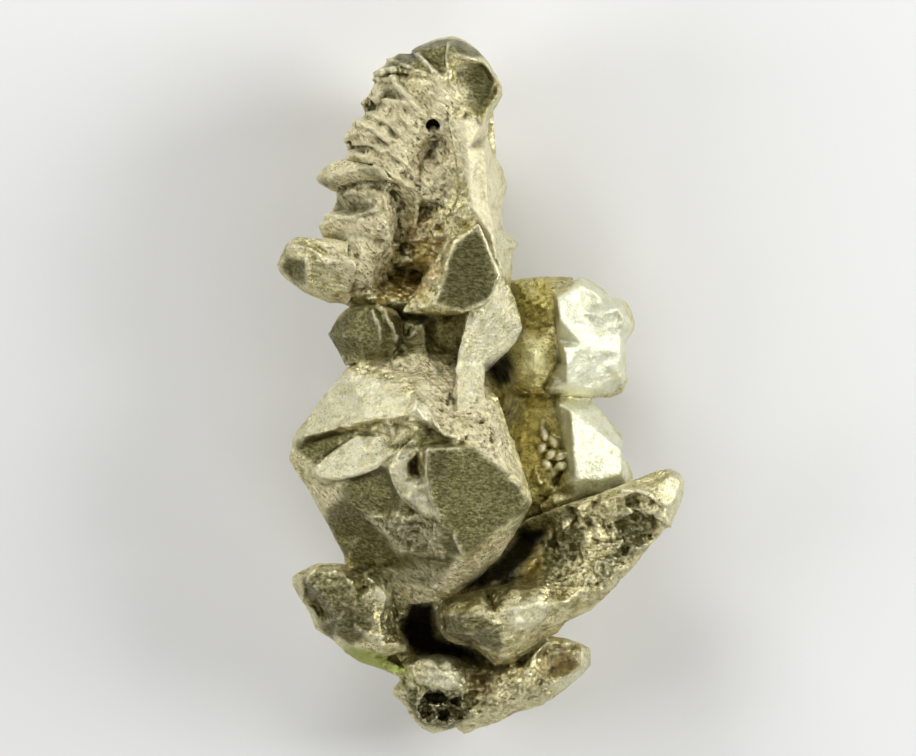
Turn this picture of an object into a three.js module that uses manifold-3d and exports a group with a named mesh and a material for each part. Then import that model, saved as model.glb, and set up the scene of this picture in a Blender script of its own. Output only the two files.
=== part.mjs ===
// Electrum specimen: a natural group of gold-silver alloy crystals, grown together as one solid.
// Millimetres, +Z up. It lies on its back: X runs to the right and Y towards the head of the
// specimen, as it is seen from above, and Z = 0 is the surface it rests on. The origin is under the
// middle of its outline. Every corner below is [x, y, z] on a specimen of the MEASURED length.
import * as THREE from "three";
import { ConvexGeometry } from "three/addons/geometries/ConvexGeometry.js";
import { ConvexHull } from "three/addons/math/ConvexHull.js";
import { mergeVertices } from "three/addons/utils/BufferGeometryUtils.js";
import Module from "manifold-3d";

const wasm = await Module();
wasm.setup();

const LENGTH = 25.0; // of the specimen, from head to foot
const MEASURED = 25.0; // length the corners below are given for
const WELD = 1e-4; // corners nearer than this are one corner
const REST = 0; // height of the surface the specimen lies on
const BACK = -0.4; // the crystals at its back are worn off flat from here up to REST

function solidOf(geometry) {
  geometry.deleteAttribute("normal");
  geometry.deleteAttribute("uv");
  const welded = mergeVertices(geometry, WELD);
  return new wasm.Manifold(
    new wasm.Mesh({
      numProp: 3,
      vertProperties: welded.attributes.position.array,
      triVerts: new Uint32Array(welded.index.array),
    }),
  );
}

// The convex crystal that has these corners.
function crystal(...corners) {
  return solidOf(new ConvexGeometry(corners.map((c) => new THREE.Vector3(...c))));
}

// A regular octahedron, the common form of native gold: its centre, the reach of its tips along its
// own three axes, and its turn about X, Y and Z in degrees.
function octahedron(at, reach, turn) {
  const geometry = new THREE.OctahedronGeometry(1);
  const turned = new THREE.Euler(...turn.map(THREE.MathUtils.degToRad));
  geometry.scale(...reach);
  geometry.applyMatrix4(new THREE.Matrix4().makeRotationFromEuler(turned));
  geometry.translate(...at);
  return solidOf(geometry);
}

// The triangles that join neighbouring corners, seen from above and counter-clockwise.
function neighbours(corners) {
  const lifted = corners.map(([x, y]) => new THREE.Vector3(x, y, x * x + y * y));
  const triangles = [];
  for (const { normal, edge } of new ConvexHull().setFromPoints(lifted).faces) {
    const points = [edge.next.head().point, edge.head().point, edge.prev.head().point];
    if (normal.z < 0) triangles.push(points.map((point) => lifted.indexOf(point)));
  }
  return triangles;
}

function inside(outline, x, y) {
  let within = false;
  outline.forEach(([x1, y1], i) => {
    const [x2, y2] = outline.at(i - 1);
    if (y1 > y !== y2 > y && x < x1 + ((y - y1) * (x2 - x1)) / (y2 - y1)) within = !within;
  });
  return within;
}

// A crystal body with a relief on top: the loop of its outline and the corners of the faces within
// it. Its sides lean in towards the point `below`, as far as the floor.
function relief(outline, inner, below, taper = 0.8) {
  const corners = [...outline, ...inner];
  const middle = (triangle, axis) => triangle.reduce((sum, i) => sum + corners[i][axis] / 3, 0);
  const upper = neighbours(corners).filter((t) => inside(outline, middle(t, 0), middle(t, 1)));
  const edges = new Set(upper.flatMap(([a, b, c]) => [[a, b], [b, c], [c, a]].map(String)));
  const count = corners.length;
  const triangles = upper.flatMap(([a, b, c]) => [[a, b, c], [count + c, count + b, count + a]]);
  for (const edge of edges) {
    const [a, b] = edge.split(",").map(Number);
    if (!edges.has(String([b, a]))) triangles.push([b, a, count + a], [b, count + a, count + b]);
  }
  const lean = (value, axis) => below[axis] + (value - below[axis]) * taper;
  const lower = corners.map(([x, y]) => [lean(x, 0), lean(y, 1), below[2]]);
  const geometry = new THREE.BufferGeometry();
  const places = [...corners, ...lower].flat();
  geometry.setAttribute("position", new THREE.Float32BufferAttribute(places, 3));
  geometry.setIndex(triangles.flat());
  return solidOf(geometry);
}

function joined(...solids) {
  return solids.flat().reduce((whole, next) => whole.add(next));
}

// The largest crystal: bright upper-left face, stepped hopper below its ridge, flat striated face.
function mainCrystal() {
  const outline = [
    [-4.8, 0.65, 6.6], [-4.0, 1.0, 6.6], [-2.6, 1.0, 6.6], [-0.9, 0.7, 6.9], [0.1, 0.1, 7.0],
    [0.6, -0.4, 7.0], [0.95, -1.4, 7.1], [1.3, -2.4, 7.3], [1.6, -3.3, 7.5], [1.85, -4.1, 7.7],
    [1.25, -5.15, 7.1], [0.6, -6.2, 6.6], [-0.2, -6.9, 6.3], [-1.0, -7.5, 6.1], [-1.6, -7.7, 5.9],
    [-2.5, -7.8, 5.4], [-3.2, -7.2, 5.4], [-4.0, -6.9, 5.3], [-4.85, -6.3, 5.3], [-4.9, -6.0, 5.3],
    [-5.25, -5.4, 5.4], [-5.6, -4.75, 5.6], [-6.0, -4.0, 5.9], [-6.35, -3.4, 6.0],
    [-6.6, -3.05, 5.9], [-6.85, -2.6, 5.9], [-6.7, -1.85, 6.2], [-6.1, -1.0, 6.3],
    [-5.5, -0.2, 6.4],
  ];
  const ridge = [
    [-6.35, -1.8, 7.1], [-5.8, -1.67, 7.45], [-5.2, -1.5, 7.85], [-4.6, -1.35, 8.2],
    [-4.0, -1.2, 8.55], [-3.3, -1.12, 8.85], [-2.6, -1.02, 9.1],
  ];
  const upperFace = [[-3.6, 0.3, 7.4], [-2.75, 0.1, 8.0], [-2.5, -0.45, 8.6]];
  const knob = [
    [-2.3, -0.35, 8.75], [-2.05, 0.0, 8.3], [-1.85, -0.5, 8.6], [-2.3, -0.8, 9.2],
    [-2.0, -1.2, 9.15], [-1.2, 0.0, 7.9], [-1.3, -0.8, 8.5], [-0.95, -0.6, 8.2],
  ];
  const hopper = [
    [-6.45, -2.2, 6.55], [-6.35, -2.7, 6.5], [-5.9, -1.95, 6.75], [-5.2, -1.75, 7.1],
    [-5.0, -2.15, 7.2], [-5.7, -2.5, 6.85], [-4.5, -1.6, 7.6], [-4.0, -1.7, 7.75],
    [-3.9, -1.4, 8.2], [-3.0, -1.35, 8.5], [-2.3, -1.35, 8.8],
  ];
  const tongue = [
    [-5.85, -2.95, 7.3], [-5.5, -2.6, 7.45], [-5.0, -2.25, 7.7], [-4.4, -1.85, 7.95],
    [-3.7, -1.8, 8.25], [-3.1, -1.8, 8.5], [-2.4, -1.6, 8.75], [-5.65, -3.18, 7.4],
    [-5.1, -3.22, 7.7], [-4.55, -3.17, 7.95], [-4.1, -2.98, 8.15], [-3.6, -2.78, 8.3],
    [-3.1, -2.4, 8.45], [-5.3, -2.85, 7.7], [-4.7, -2.7, 8.0], [-4.1, -2.4, 8.25],
    [-3.5, -2.3, 8.4], [-2.9, -2.0, 8.6],
  ];
  const underTongue = [
    [-5.75, -3.35, 6.7], [-5.1, -3.38, 6.9], [-4.5, -3.33, 7.2], [-4.03, -3.14, 7.5],
    [-3.45, -2.95, 8.05], [-4.5, -3.8, 7.15], [-5.0, -3.95, 6.85], [-5.5, -4.3, 6.4],
    [-5.9, -3.7, 6.3], [-3.15, -3.8, 7.95], [-4.9, -4.1, 6.75],
  ];
  const lowerFace = [
    [-2.45, -4.5, 8.25], [-3.3, -4.4, 7.6], [-4.0, -4.6, 7.2], [-4.5, -4.3, 6.95],
    [-3.7, -5.1, 6.75], [-3.3, -5.6, 6.65], [-4.2, -5.3, 6.3], [-4.6, -5.8, 5.9],
    [-4.2, -6.2, 5.8], [-3.2, -6.6, 5.9], [-2.2, -7.3, 5.9],
  ];
  const plate = [
    [-2.0, -2.25, 9.55], [-1.4, -2.18, 9.6], [-0.9, -2.18, 9.6], [-0.3, -2.12, 9.5],
    [0.35, -2.6, 9.1], [0.9, -3.25, 8.75], [1.35, -3.75, 8.3], [1.7, -4.12, 7.95],
    [1.1, -4.75, 8.1], [0.5, -5.2, 8.2], [-0.1, -5.65, 8.25], [-0.5, -6.0, 8.2],
    [-0.85, -5.75, 8.5], [-1.05, -5.3, 8.8], [-1.5, -4.75, 9.1], [-1.75, -4.1, 9.35],
    [-1.95, -3.5, 9.5], [-2.0, -2.9, 9.55],
  ];
  const aboveThePlate = [
    [-1.95, -2.05, 8.8], [-1.3, -1.9, 8.85], [-0.6, -1.95, 8.9], [-2.7, -2.1, 8.6],
    [-3.3, -2.05, 8.4], [-1.7, -1.55, 8.7], [-1.3, -1.7, 9.15], [-0.85, -1.9, 9.2],
    [-1.0, -1.35, 8.9], [-1.7, -1.25, 8.95],
  ];
  const crescent = [
    [-2.5, -1.95, 8.85], [-2.9, -2.4, 8.8], [-3.22, -2.88, 8.7], [-3.05, -3.4, 8.65],
    [-2.8, -3.85, 8.6], [-2.3, -4.3, 8.6], [-1.75, -4.65, 8.7], [-2.35, -2.25, 8.95],
    [-2.62, -2.7, 9.0], [-2.6, -3.15, 9.0], [-2.35, -3.6, 9.0], [-2.1, -4.0, 8.95],
    [-1.75, -4.4, 8.9], [-2.95, -2.85, 8.9], [-2.8, -3.3, 8.9], [-2.5, -3.9, 8.85],
  ];
  const crevice = [
    [-2.25, -2.4, 8.9], [-2.2, -2.9, 8.9], [-2.12, -3.3, 8.85], [-2.05, -3.75, 8.95],
    [-2.42, -2.75, 8.3], [-2.4, -3.0, 8.3], [-2.32, -3.3, 8.75],
  ];
  const crust = [
    [-3.3, -4.75, 7.7], [-2.9, -4.7, 8.15], [-2.4, -4.75, 8.3], [-1.9, -4.85, 8.5],
    [-1.55, -5.05, 8.9], [-1.7, -5.5, 8.6], [-3.35, -5.2, 7.4], [-2.9, -5.3, 7.9],
    [-2.35, -5.2, 8.0], [-2.6, -5.75, 7.5], [-2.0, -5.9, 7.7], [-1.3, -5.95, 7.9],
    [-2.9, -5.95, 6.8], [-2.0, -6.1, 7.2], [-1.2, -6.15, 7.5],
  ];
  const bevel = [
    [-0.75, -6.3, 7.6], [-1.2, -6.75, 7.1], [-1.7, -7.15, 6.7], [-1.95, -6.6, 6.7],
    [-1.5, -6.5, 7.0], [0.1, -6.1, 7.3], [0.8, -5.4, 7.6],
  ];
  const rib = [
    [-0.9, -0.1, 7.9], [-0.2, 0.1, 7.9], [0.1, -0.5, 8.1], [-0.75, -0.95, 8.6],
    [-0.5, -1.5, 9.0], [-0.25, -1.95, 9.2], [0.3, -2.4, 9.25], [0.9, -3.05, 8.95],
    [1.35, -3.55, 8.6], [0.3, -1.1, 8.6], [0.7, -2.1, 8.7], [1.15, -3.1, 8.4],
  ];
  const faces = [
    ridge, upperFace, knob, hopper, tongue, underTongue, lowerFace, plate, aboveThePlate,
    crescent, crevice, crust, bevel, rib,
  ];
  return relief(outline, faces.flat(), [-2.6, -3.2, 4.2]);
}

// The back of the main crystal, with the faces of an octahedron.
function mainBack() {
  return joined(
    crystal(
      [-4.6, 0.6, 6.4], [-6.6, -2.5, 5.8], [-4.9, -6.0, 5.2], [-2.4, -7.5, 5.4], [0.5, -6.0, 6.4],
      [1.6, -4.0, 7.2], [0.3, 0.0, 6.8], [-5.2, -1.6, 2.6], [-4.2, -4.9, 2.0], [-1.6, -6.3, 2.2],
      [0.6, -3.9, 2.4], [-0.4, -0.6, 2.6], [-3.6, -1.8, BACK], [-2.9, -4.6, BACK],
      [-0.8, -4.2, BACK], [-1.2, -2.0, BACK],
    ),
    octahedron([-2.7, -3.0, 2.3], [2.4, 2.6, 2.5], [12, -18, 30]),
  );
}

// The column above the neck: a hollow runs down its middle, a rib along its right side.
function topColumn() {
  const outline = [
    [-1.0, 12.5, 5.8], [-0.5, 12.3, 5.9], [0.0, 11.85, 6.6], [0.2, 11.6, 7.0], [0.75, 10.7, 7.0],
    [0.78, 10.35, 6.9], [0.3, 9.5, 6.4], [0.25, 8.9, 5.8], [0.45, 8.3, 5.5], [0.75, 7.8, 5.3],
    [0.93, 7.1, 5.2], [0.75, 6.4, 5.4], [0.8, 5.7, 5.5], [1.0, 5.4, 5.6], [1.35, 5.1, 5.4],
    [1.15, 4.75, 5.6], [1.1, 3.85, 5.9], [1.0, 3.2, 6.0], [-0.6, 2.5, 5.6], [-2.8, 2.5, 5.6],
    [-4.6, 2.7, 5.6], [-5.1, 3.1, 5.6], [-5.4, 4.0, 5.4], [-5.5, 5.2, 5.6], [-5.65, 5.3, 5.7],
    [-5.82, 5.7, 5.9], [-5.4, 6.2, 5.6], [-5.15, 6.6, 5.6], [-5.2, 6.9, 5.7], [-4.9, 7.3, 5.6],
    [-4.75, 8.1, 5.7], [-4.8, 8.5, 5.6], [-4.97, 8.85, 6.0], [-4.6, 9.3, 5.8],
    [-4.12, 9.65, 5.7], [-4.12, 9.82, 5.7], [-4.32, 10.08, 6.0], [-4.0, 10.4, 5.9],
    [-3.8, 10.8, 5.8], [-3.78, 11.08, 6.0], [-3.3, 11.6, 5.9], [-2.9, 11.85, 5.8],
    [-2.4, 11.85, 5.9], [-2.3, 12.1, 5.8], [-1.6, 12.4, 5.8],
  ];
  const teeth = [
    [-3.55, 11.15, 6.75], [-3.1, 11.25, 7.2], [-2.6, 11.35, 7.4], [-3.5, 10.98, 6.3],
    [-3.0, 11.02, 6.85], [-2.7, 11.1, 7.15], [-3.2, 11.55, 6.6], [-2.7, 11.65, 6.9],
    [-4.1, 10.14, 6.75], [-3.65, 10.35, 7.1], [-3.3, 10.6, 7.2], [-4.05, 9.95, 6.1],
    [-3.75, 10.0, 6.4], [-3.3, 10.0, 7.1], [-3.75, 10.75, 6.5],
    [-4.45, 9.25, 6.7], [-3.9, 9.5, 7.0], [-4.75, 8.92, 6.75], [-4.3, 9.0, 7.05],
    [-3.75, 8.95, 7.3], [-4.7, 8.62, 6.1], [-4.45, 8.5, 6.25], [-3.95, 8.5, 7.0],
    [-4.5, 8.25, 6.7], [-4.0, 8.1, 7.0],
    [-5.0, 6.75, 6.5], [-4.6, 7.0, 6.9], [-4.2, 6.75, 7.1], [-4.8, 6.3, 6.3],
    [-5.6, 5.75, 6.5], [-5.2, 6.0, 6.8], [-4.6, 5.95, 7.0], [-4.1, 5.8, 7.25],
    [-5.4, 5.45, 6.3], [-4.8, 5.4, 6.7], [-5.0, 5.7, 7.0],
  ];
  const crown = [
    [-2.2, 11.95, 6.7], [-1.6, 12.1, 7.1], [-1.0, 12.1, 7.3], [-0.5, 11.95, 7.5],
    [-0.75, 11.7, 7.95], [-0.45, 11.65, 8.0], [0.0, 11.55, 7.9], [-1.15, 11.75, 7.5],
    [-1.25, 11.05, 7.9], [-1.4, 11.4, 7.4],
  ];
  const headRim = [
    [0.15, 11.5, 8.05], [0.45, 11.0, 7.95], [0.68, 10.5, 7.85], [0.5, 10.2, 7.85],
    [0.2, 9.7, 7.9], [0.05, 9.35, 7.9],
  ];
  const headFacet = [
    [-0.95, 11.35, 7.6], [-0.5, 11.4, 7.65], [0.05, 11.3, 7.6], [0.4, 10.75, 7.5],
    [0.4, 10.4, 7.5], [0.05, 9.95, 7.5], [-0.1, 9.6, 7.65], [-0.6, 10.1, 7.6],
    [-0.95, 10.7, 7.7], [-0.2, 10.7, 7.5],
  ];
  const plates = [
    [-2.25, 11.6, 7.4], [-1.85, 11.25, 7.7], [-1.5, 10.9, 8.0], [-2.0, 11.7, 7.0],
    [-1.6, 11.15, 7.45], [-3.1, 10.75, 7.35], [-2.65, 10.25, 7.7], [-2.2, 9.7, 7.95],
    [-2.95, 10.85, 7.05], [-2.5, 10.35, 7.4], [-2.05, 9.8, 7.6], [-2.7, 9.3, 7.6],
    [-2.4, 9.0, 7.75], [-2.2, 9.15, 7.5], [-2.9, 11.4, 7.0], [-3.4, 10.3, 6.9],
    [-2.4, 11.0, 7.4], [-1.2, 10.2, 7.85], [-1.6, 9.9, 7.8],
  ];
  const wing = [
    [-3.1, 9.5, 7.4], [-3.2, 8.9, 7.35], [-2.9, 8.5, 7.6], [-3.4, 8.1, 7.4], [-2.7, 7.9, 7.4],
    [-3.2, 7.35, 7.4], [-3.95, 7.3, 6.8], [-3.7, 6.4, 7.5], [-4.2, 6.3, 6.75], [-3.45, 5.9, 7.5],
    [-3.3, 5.4, 7.3], [-4.1, 5.3, 7.0], [-3.8, 4.6, 6.9], [-4.4, 4.2, 7.0],
    [-3.9, 3.6, 6.6], [-4.6, 3.2, 6.3], [-3.6, 3.0, 6.5],
  ];
  const hollow = [
    [-1.72, 9.5, 7.7], [-1.95, 9.25, 7.55], [-1.5, 9.25, 7.6], [-1.72, 9.05, 7.5],
    [-1.72, 9.27, 6.9], [-1.6, 8.75, 6.9], [-1.85, 8.3, 6.7], [-2.1, 8.0, 6.9],
    [-2.3, 8.5, 7.4], [-2.2, 7.5, 7.0], [-3.15, 6.9, 6.4], [-3.4, 6.95, 7.0],
    [-3.0, 6.55, 6.3], [-3.0, 6.0, 6.2], [-2.9, 5.4, 6.0], [-3.3, 5.0, 6.7],
    [-2.2, 6.9, 7.0], [-2.4, 6.3, 6.7], [-2.0, 6.05, 6.4], [-2.3, 5.6, 6.6],
    [-1.6, 5.9, 6.9], [-2.7, 4.9, 5.9], [-2.1, 4.9, 6.5], [-2.4, 4.45, 6.1],
    [-1.7, 4.4, 6.5], [-3.2, 4.4, 6.1], [-2.9, 4.05, 4.9], [-2.2, 3.85, 4.9],
    [-3.4, 3.7, 6.0], [-2.7, 3.5, 5.9], [-2.1, 3.4, 6.1], [-2.6, 3.0, 6.4],
  ];
  const rib = [
    [-1.1, 9.5, 7.6], [-1.2, 8.9, 7.5], [-1.0, 8.2, 7.45], [-0.8, 7.5, 7.5], [-0.75, 6.8, 7.5],
    [-1.3, 7.6, 7.3], [-1.4, 6.7, 7.1], [-0.6, 9.4, 8.0], [-0.5, 8.4, 8.0], [-0.4, 7.4, 8.05],
    [-0.35, 6.4, 8.1], [-1.0, 6.2, 7.5], [0.0, 9.2, 7.6], [0.1, 8.4, 7.5], [0.1, 7.4, 7.5],
    [0.2, 6.4, 7.6], [0.35, 5.4, 7.9], [0.55, 4.6, 7.9], [0.5, 7.4, 6.6], [0.6, 6.0, 6.8],
    [0.85, 4.9, 6.9], [0.85, 3.9, 7.2], [-0.4, 3.6, 6.6], [-1.0, 5.0, 7.2],
  ];
  const faces = [crown, headRim, headFacet, plates, teeth, wing, hollow, rib];
  return relief(outline, faces.flat(), [-1.8, 7.0, 3.6], 0.82);
}

// The back of the column, a row of octahedra one above the other.
function columnBack() {
  return joined(
    crystal(
      [-3.4, 11.0, 5.0], [-1.4, 12.2, 5.2], [0.4, 10.6, 5.4], [-4.6, 5.2, 4.8], [0.7, 5.6, 5.0],
      [-4.2, 2.8, 5.0], [0.6, 3.0, 5.2], [-1.6, 11.2, 2.2], [-3.4, 8.2, 1.8], [-0.2, 8.6, 2.0],
      [-3.6, 4.2, 2.2], [-0.2, 4.0, 2.4],
    ),
    octahedron([-1.7, 9.0, 2.7], [2.2, 2.5, 3.3], [8, 10, 20]),
    octahedron([-2.3, 6.4, 2.6], [2.4, 2.2, 2.4], [-10, 14, 50]),
    octahedron([-1.9, 3.8, 2.8], [2.3, 2.2, 2.4], [14, -8, 10]),
  );
}

// The curved blade that stands out of the left side of the column.
function blade() {
  return joined(
    crystal(
      [-5.87, 7.38, 6.2], [-5.8, 7.22, 5.9], [-5.72, 7.62, 6.3], [-5.5, 7.85, 6.4],
      [-4.95, 8.12, 6.6], [-4.3, 7.95, 7.2], [-5.3, 7.6, 7.05], [-4.4, 7.7, 7.5],
      [-5.35, 7.3, 6.95], [-5.28, 6.92, 5.9], [-4.7, 6.95, 6.1], [-4.3, 7.4, 7.1],
      [-4.0, 7.15, 6.6], [-3.9, 7.5, 5.4], [-4.6, 7.5, 4.8],
    ),
    crystal(
      [-4.9, 8.1, 6.6], [-4.4, 7.72, 7.5], [-3.75, 7.8, 7.7], [-3.15, 7.35, 7.75],
      [-3.0, 7.2, 7.4], [-3.4, 7.25, 7.1], [-4.3, 7.35, 6.9], [-3.9, 7.7, 5.6],
    ),
  );
}

// The blunt spur at the lower left of the column, with a hollow end face.
function bluntSpur() {
  const body = crystal(
    [-7.32, 4.32, 5.7], [-7.2, 4.05, 5.5], [-6.95, 3.8, 5.5], [-6.3, 3.35, 5.6],
    [-5.4, 2.95, 5.7], [-4.7, 2.9, 6.2], [-4.4, 4.3, 7.3], [-4.6, 5.0, 6.8], [-5.7, 5.2, 6.5],
    [-6.6, 5.32, 6.2], [-6.95, 5.05, 6.1], [-6.5, 4.75, 6.95], [-6.25, 4.4, 7.0],
    [-6.2, 3.7, 6.5], [-6.4, 4.2, 4.2], [-5.0, 4.0, 3.8],
  );
  const upperPlate = crystal(
    [-6.2, 5.1, 6.7], [-5.5, 4.45, 7.2], [-4.7, 4.5, 7.3], [-4.7, 5.15, 7.0], [-5.6, 5.3, 6.3],
    [-5.2, 4.9, 5.8],
  );
  const endHollow = crystal(
    [-7.25, 4.3, 7.5], [-6.95, 4.8, 7.5], [-6.5, 4.75, 7.5], [-6.2, 4.3, 7.5],
    [-6.2, 3.65, 7.5], [-6.6, 3.55, 7.5], [-7.05, 3.85, 7.5], [-6.95, 4.3, 6.1],
    [-6.5, 4.45, 6.6], [-6.35, 3.9, 6.5], [-6.8, 3.95, 5.9],
  );
  return body.add(upperPlate).subtract(endHollow);
}

// The dark triangular face at the foot of the rib, with the bright edge that overhangs the neck.
function overhang() {
  return crystal(
    [-0.1, 5.75, 8.55], [0.68, 3.95, 8.35], [0.3, 3.0, 8.3], [-0.65, 2.6, 8.2],
    [-1.6, 2.9, 8.15], [-1.3, 4.0, 8.4], [-0.95, 5.1, 8.5], [-1.1, 5.35, 8.0],
    [-1.6, 4.1, 7.7], [-2.2, 3.2, 7.5], [-2.85, 2.6, 7.3], [-2.4, 2.55, 6.9],
    [-0.6, 2.5, 7.2], [0.75, 4.0, 7.8], [-0.8, 4.0, 5.4],
  );
}

// The neck: a dark crystal on the left, a dark arch in the middle and a bright band on the right.
function neck() {
  const left = relief(
    [
      [-5.47, 1.85, 5.7], [-5.08, 2.5, 6.0], [-4.75, 2.78, 6.3], [-3.9, 2.9, 6.9],
      [-3.4, 2.85, 7.0], [-3.0, 2.65, 6.9], [-2.78, 2.3, 6.6], [-2.75, 1.8, 6.5],
      [-2.95, 1.25, 6.6], [-3.3, 0.95, 6.7], [-3.7, 0.95, 6.8], [-4.2, 0.9, 6.6],
      [-4.85, 0.7, 6.2], [-5.05, 1.15, 5.9],
    ],
    [
      [-4.9, 1.8, 6.6], [-4.6, 2.3, 6.75], [-4.3, 2.6, 6.9], [-4.3, 1.7, 7.0], [-4.2, 1.1, 6.8],
      [-4.5, 1.2, 6.5], [-3.85, 2.7, 7.3], [-3.75, 2.4, 7.5], [-3.62, 2.1, 7.5],
      [-3.6, 1.7, 7.4], [-3.65, 1.3, 7.1], [-4.05, 2.5, 7.05], [-3.95, 2.1, 7.1],
      [-3.95, 1.7, 7.1], [-3.6, 2.65, 7.0], [-3.5, 2.35, 7.1], [-3.38, 2.0, 7.1],
      [-3.35, 1.6, 7.05], [-3.4, 1.25, 6.9], [-3.3, 2.35, 7.3], [-3.12, 2.05, 7.4],
      [-3.0, 1.75, 7.3], [-3.05, 1.35, 7.0], [-3.1, 2.5, 6.95],
    ],
    [-4.0, 1.8, 3.0],
    0.7,
  );
  const niche = relief(
    [
      [-4.6, 3.1, 5.0], [-2.6, 3.2, 4.8], [-0.6, 3.2, 4.6], [0.1, 2.6, 5.0], [0.3, 1.2, 5.4],
      [0.1, 0.1, 6.6], [-2.2, 0.1, 7.5], [-4.6, 0.3, 6.2], [-4.9, 1.6, 5.4],
    ],
    [
      [-2.9, 2.4, 5.7], [-2.3, 2.5, 5.6], [-1.6, 2.5, 5.5], [-0.9, 2.4, 5.4], [-0.7, 1.7, 5.6],
      [-0.9, 1.0, 6.3], [-1.3, 1.5, 5.8], [-2.5, 2.15, 6.2], [-2.1, 2.2, 6.3],
      [-1.7, 2.0, 5.9], [-2.7, 1.7, 6.3], [-2.0, 1.6, 6.6], [-1.6, 1.5, 6.1], [-2.4, 1.2, 6.8],
      [-1.9, 1.0, 7.0], [-1.45, 0.95, 6.6], [-2.9, 0.95, 6.9], [-2.3, 0.5, 7.3],
      [-1.5, 0.5, 7.4], [-1.0, 0.4, 7.3], [-1.2, 0.75, 6.6],
    ],
    [-2.4, 1.6, 2.8],
    0.85,
  );
  const band = crystal(
    [0.7, 3.95, 7.3], [0.95, 3.7, 6.9], [1.22, 3.1, 6.6], [1.25, 2.75, 6.6], [1.5, 2.08, 6.4],
    [1.2, 1.5, 6.4], [0.2, 0.5, 6.9], [-0.95, 0.45, 8.0], [-0.7, 1.6, 8.1], [-0.42, 2.6, 8.1],
    [0.3, 3.1, 8.0], [-0.5, 2.75, 7.6], [-0.8, 1.0, 5.8], [0.6, 1.8, 4.8], [-0.3, 3.0, 5.6],
  );
  const foot = crystal(
    [-0.85, 1.3, 7.7], [-0.98, -0.3, 8.1], [-0.8, -1.0, 8.7], [0.1, -0.9, 8.5],
    [0.15, 0.1, 7.4], [0.1, 1.1, 6.9], [-0.6, 0.0, 5.8],
  );
  return joined(left, niche, band, foot, octahedron([-2.2, 1.7, 3.2], [2.3, 2.4, 2.5], [12, -10, 35]));
}

// The upper crystal of the right column, pale and bright, with crevices in its upper right.
function rightUpper() {
  const outline = [
    [2.6, 3.25, 5.1], [3.0, 3.6, 4.9], [3.55, 3.9, 4.6], [3.85, 3.85, 4.4], [4.3, 3.55, 4.0],
    [4.7, 3.2, 3.7], [5.0, 3.2, 3.5], [5.25, 3.0, 3.4], [5.45, 2.6, 3.3], [5.55, 2.2, 3.2],
    [5.5, 2.0, 3.2], [5.2, 1.5, 3.4], [5.2, 0.5, 3.4], [5.3, 0.2, 3.2], [5.1, -0.2, 3.2],
    [4.7, -0.4, 3.4], [4.0, -0.46, 3.8], [2.9, -0.36, 4.6], [2.4, -0.3, 4.8], [2.25, -0.1, 4.8],
    [2.55, 0.4, 5.0], [2.87, 0.8, 5.0], [2.75, 1.6, 5.1], [2.65, 2.5, 5.1],
  ];
  const inner = [
    [2.72, 3.1, 5.7], [3.5, 3.6, 5.4], [2.8, 2.4, 5.8], [2.95, 1.4, 5.8], [3.05, 0.7, 5.8],
    [2.5, -0.1, 5.2], [3.1, 0.1, 5.4], [3.6, 2.6, 5.5], [3.6, 1.5, 5.5], [4.1, 3.3, 5.0],
    [3.95, 2.95, 4.9], [4.35, 3.0, 4.8], [4.6, 2.95, 4.8], [3.8, 2.45, 5.2], [3.9, 2.1, 5.25],
    [3.95, 2.6, 5.3], [4.45, 2.1, 5.0], [4.3, 2.55, 5.3], [4.9, 2.75, 4.9], [5.1, 2.4, 4.7],
    [4.9, 2.5, 4.7], [5.2, 2.15, 4.4], [4.7, 1.95, 4.75], [4.2, 1.8, 5.05], [5.0, 1.85, 4.5],
    [4.4, 1.3, 5.0], [5.0, 1.2, 4.6], [4.0, 0.8, 5.1], [4.4, 0.75, 4.75], [4.6, 0.5, 4.5],
    [4.9, 0.6, 4.5], [4.35, 0.3, 4.7], [4.7, 0.1, 4.2], [5.05, 0.3, 4.3], [4.2, -0.1, 4.7],
    [3.4, 0.5, 5.3], [3.6, -0.1, 4.9],
  ];
  return relief(outline, inner, [3.6, 1.6, 2.2], 0.82);
}

// The lower crystal of the right column, with a broad bright triangular face.
function rightLower() {
  const outline = [
    [2.65, -0.45, 4.5], [3.2, -0.4, 4.4], [4.0, -0.52, 4.0], [4.5, -1.1, 3.7], [5.1, -1.85, 3.4],
    [5.1, -2.6, 3.3], [5.3, -2.75, 3.1], [5.5, -3.25, 3.0], [5.4, -3.8, 3.0], [4.4, -4.4, 3.4],
    [2.3, -4.9, 4.0], [2.1, -4.3, 4.3], [2.6, -3.8, 4.4], [3.0, -3.0, 4.6], [2.9, -1.9, 4.7],
  ];
  const inner = [
    [2.8, -0.65, 5.2], [3.2, -0.9, 5.45], [3.25, -1.65, 5.45], [3.3, -2.4, 5.4],
    [3.35, -3.3, 5.3], [3.65, -1.25, 5.2], [4.1, -1.6, 4.98], [4.55, -1.95, 4.75],
    [5.02, -2.3, 4.5], [5.02, -2.7, 4.5], [4.98, -3.15, 4.5], [4.2, -3.35, 4.9],
    [4.1, -2.5, 4.98], [3.9, -0.85, 4.6], [3.3, -3.9, 4.6], [4.6, -3.7, 4.0], [5.25, -3.0, 3.8],
    [2.7, -4.1, 4.6],
  ];
  return relief(outline, inner, [3.7, -2.4, 2.0], 0.85);
}

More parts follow.
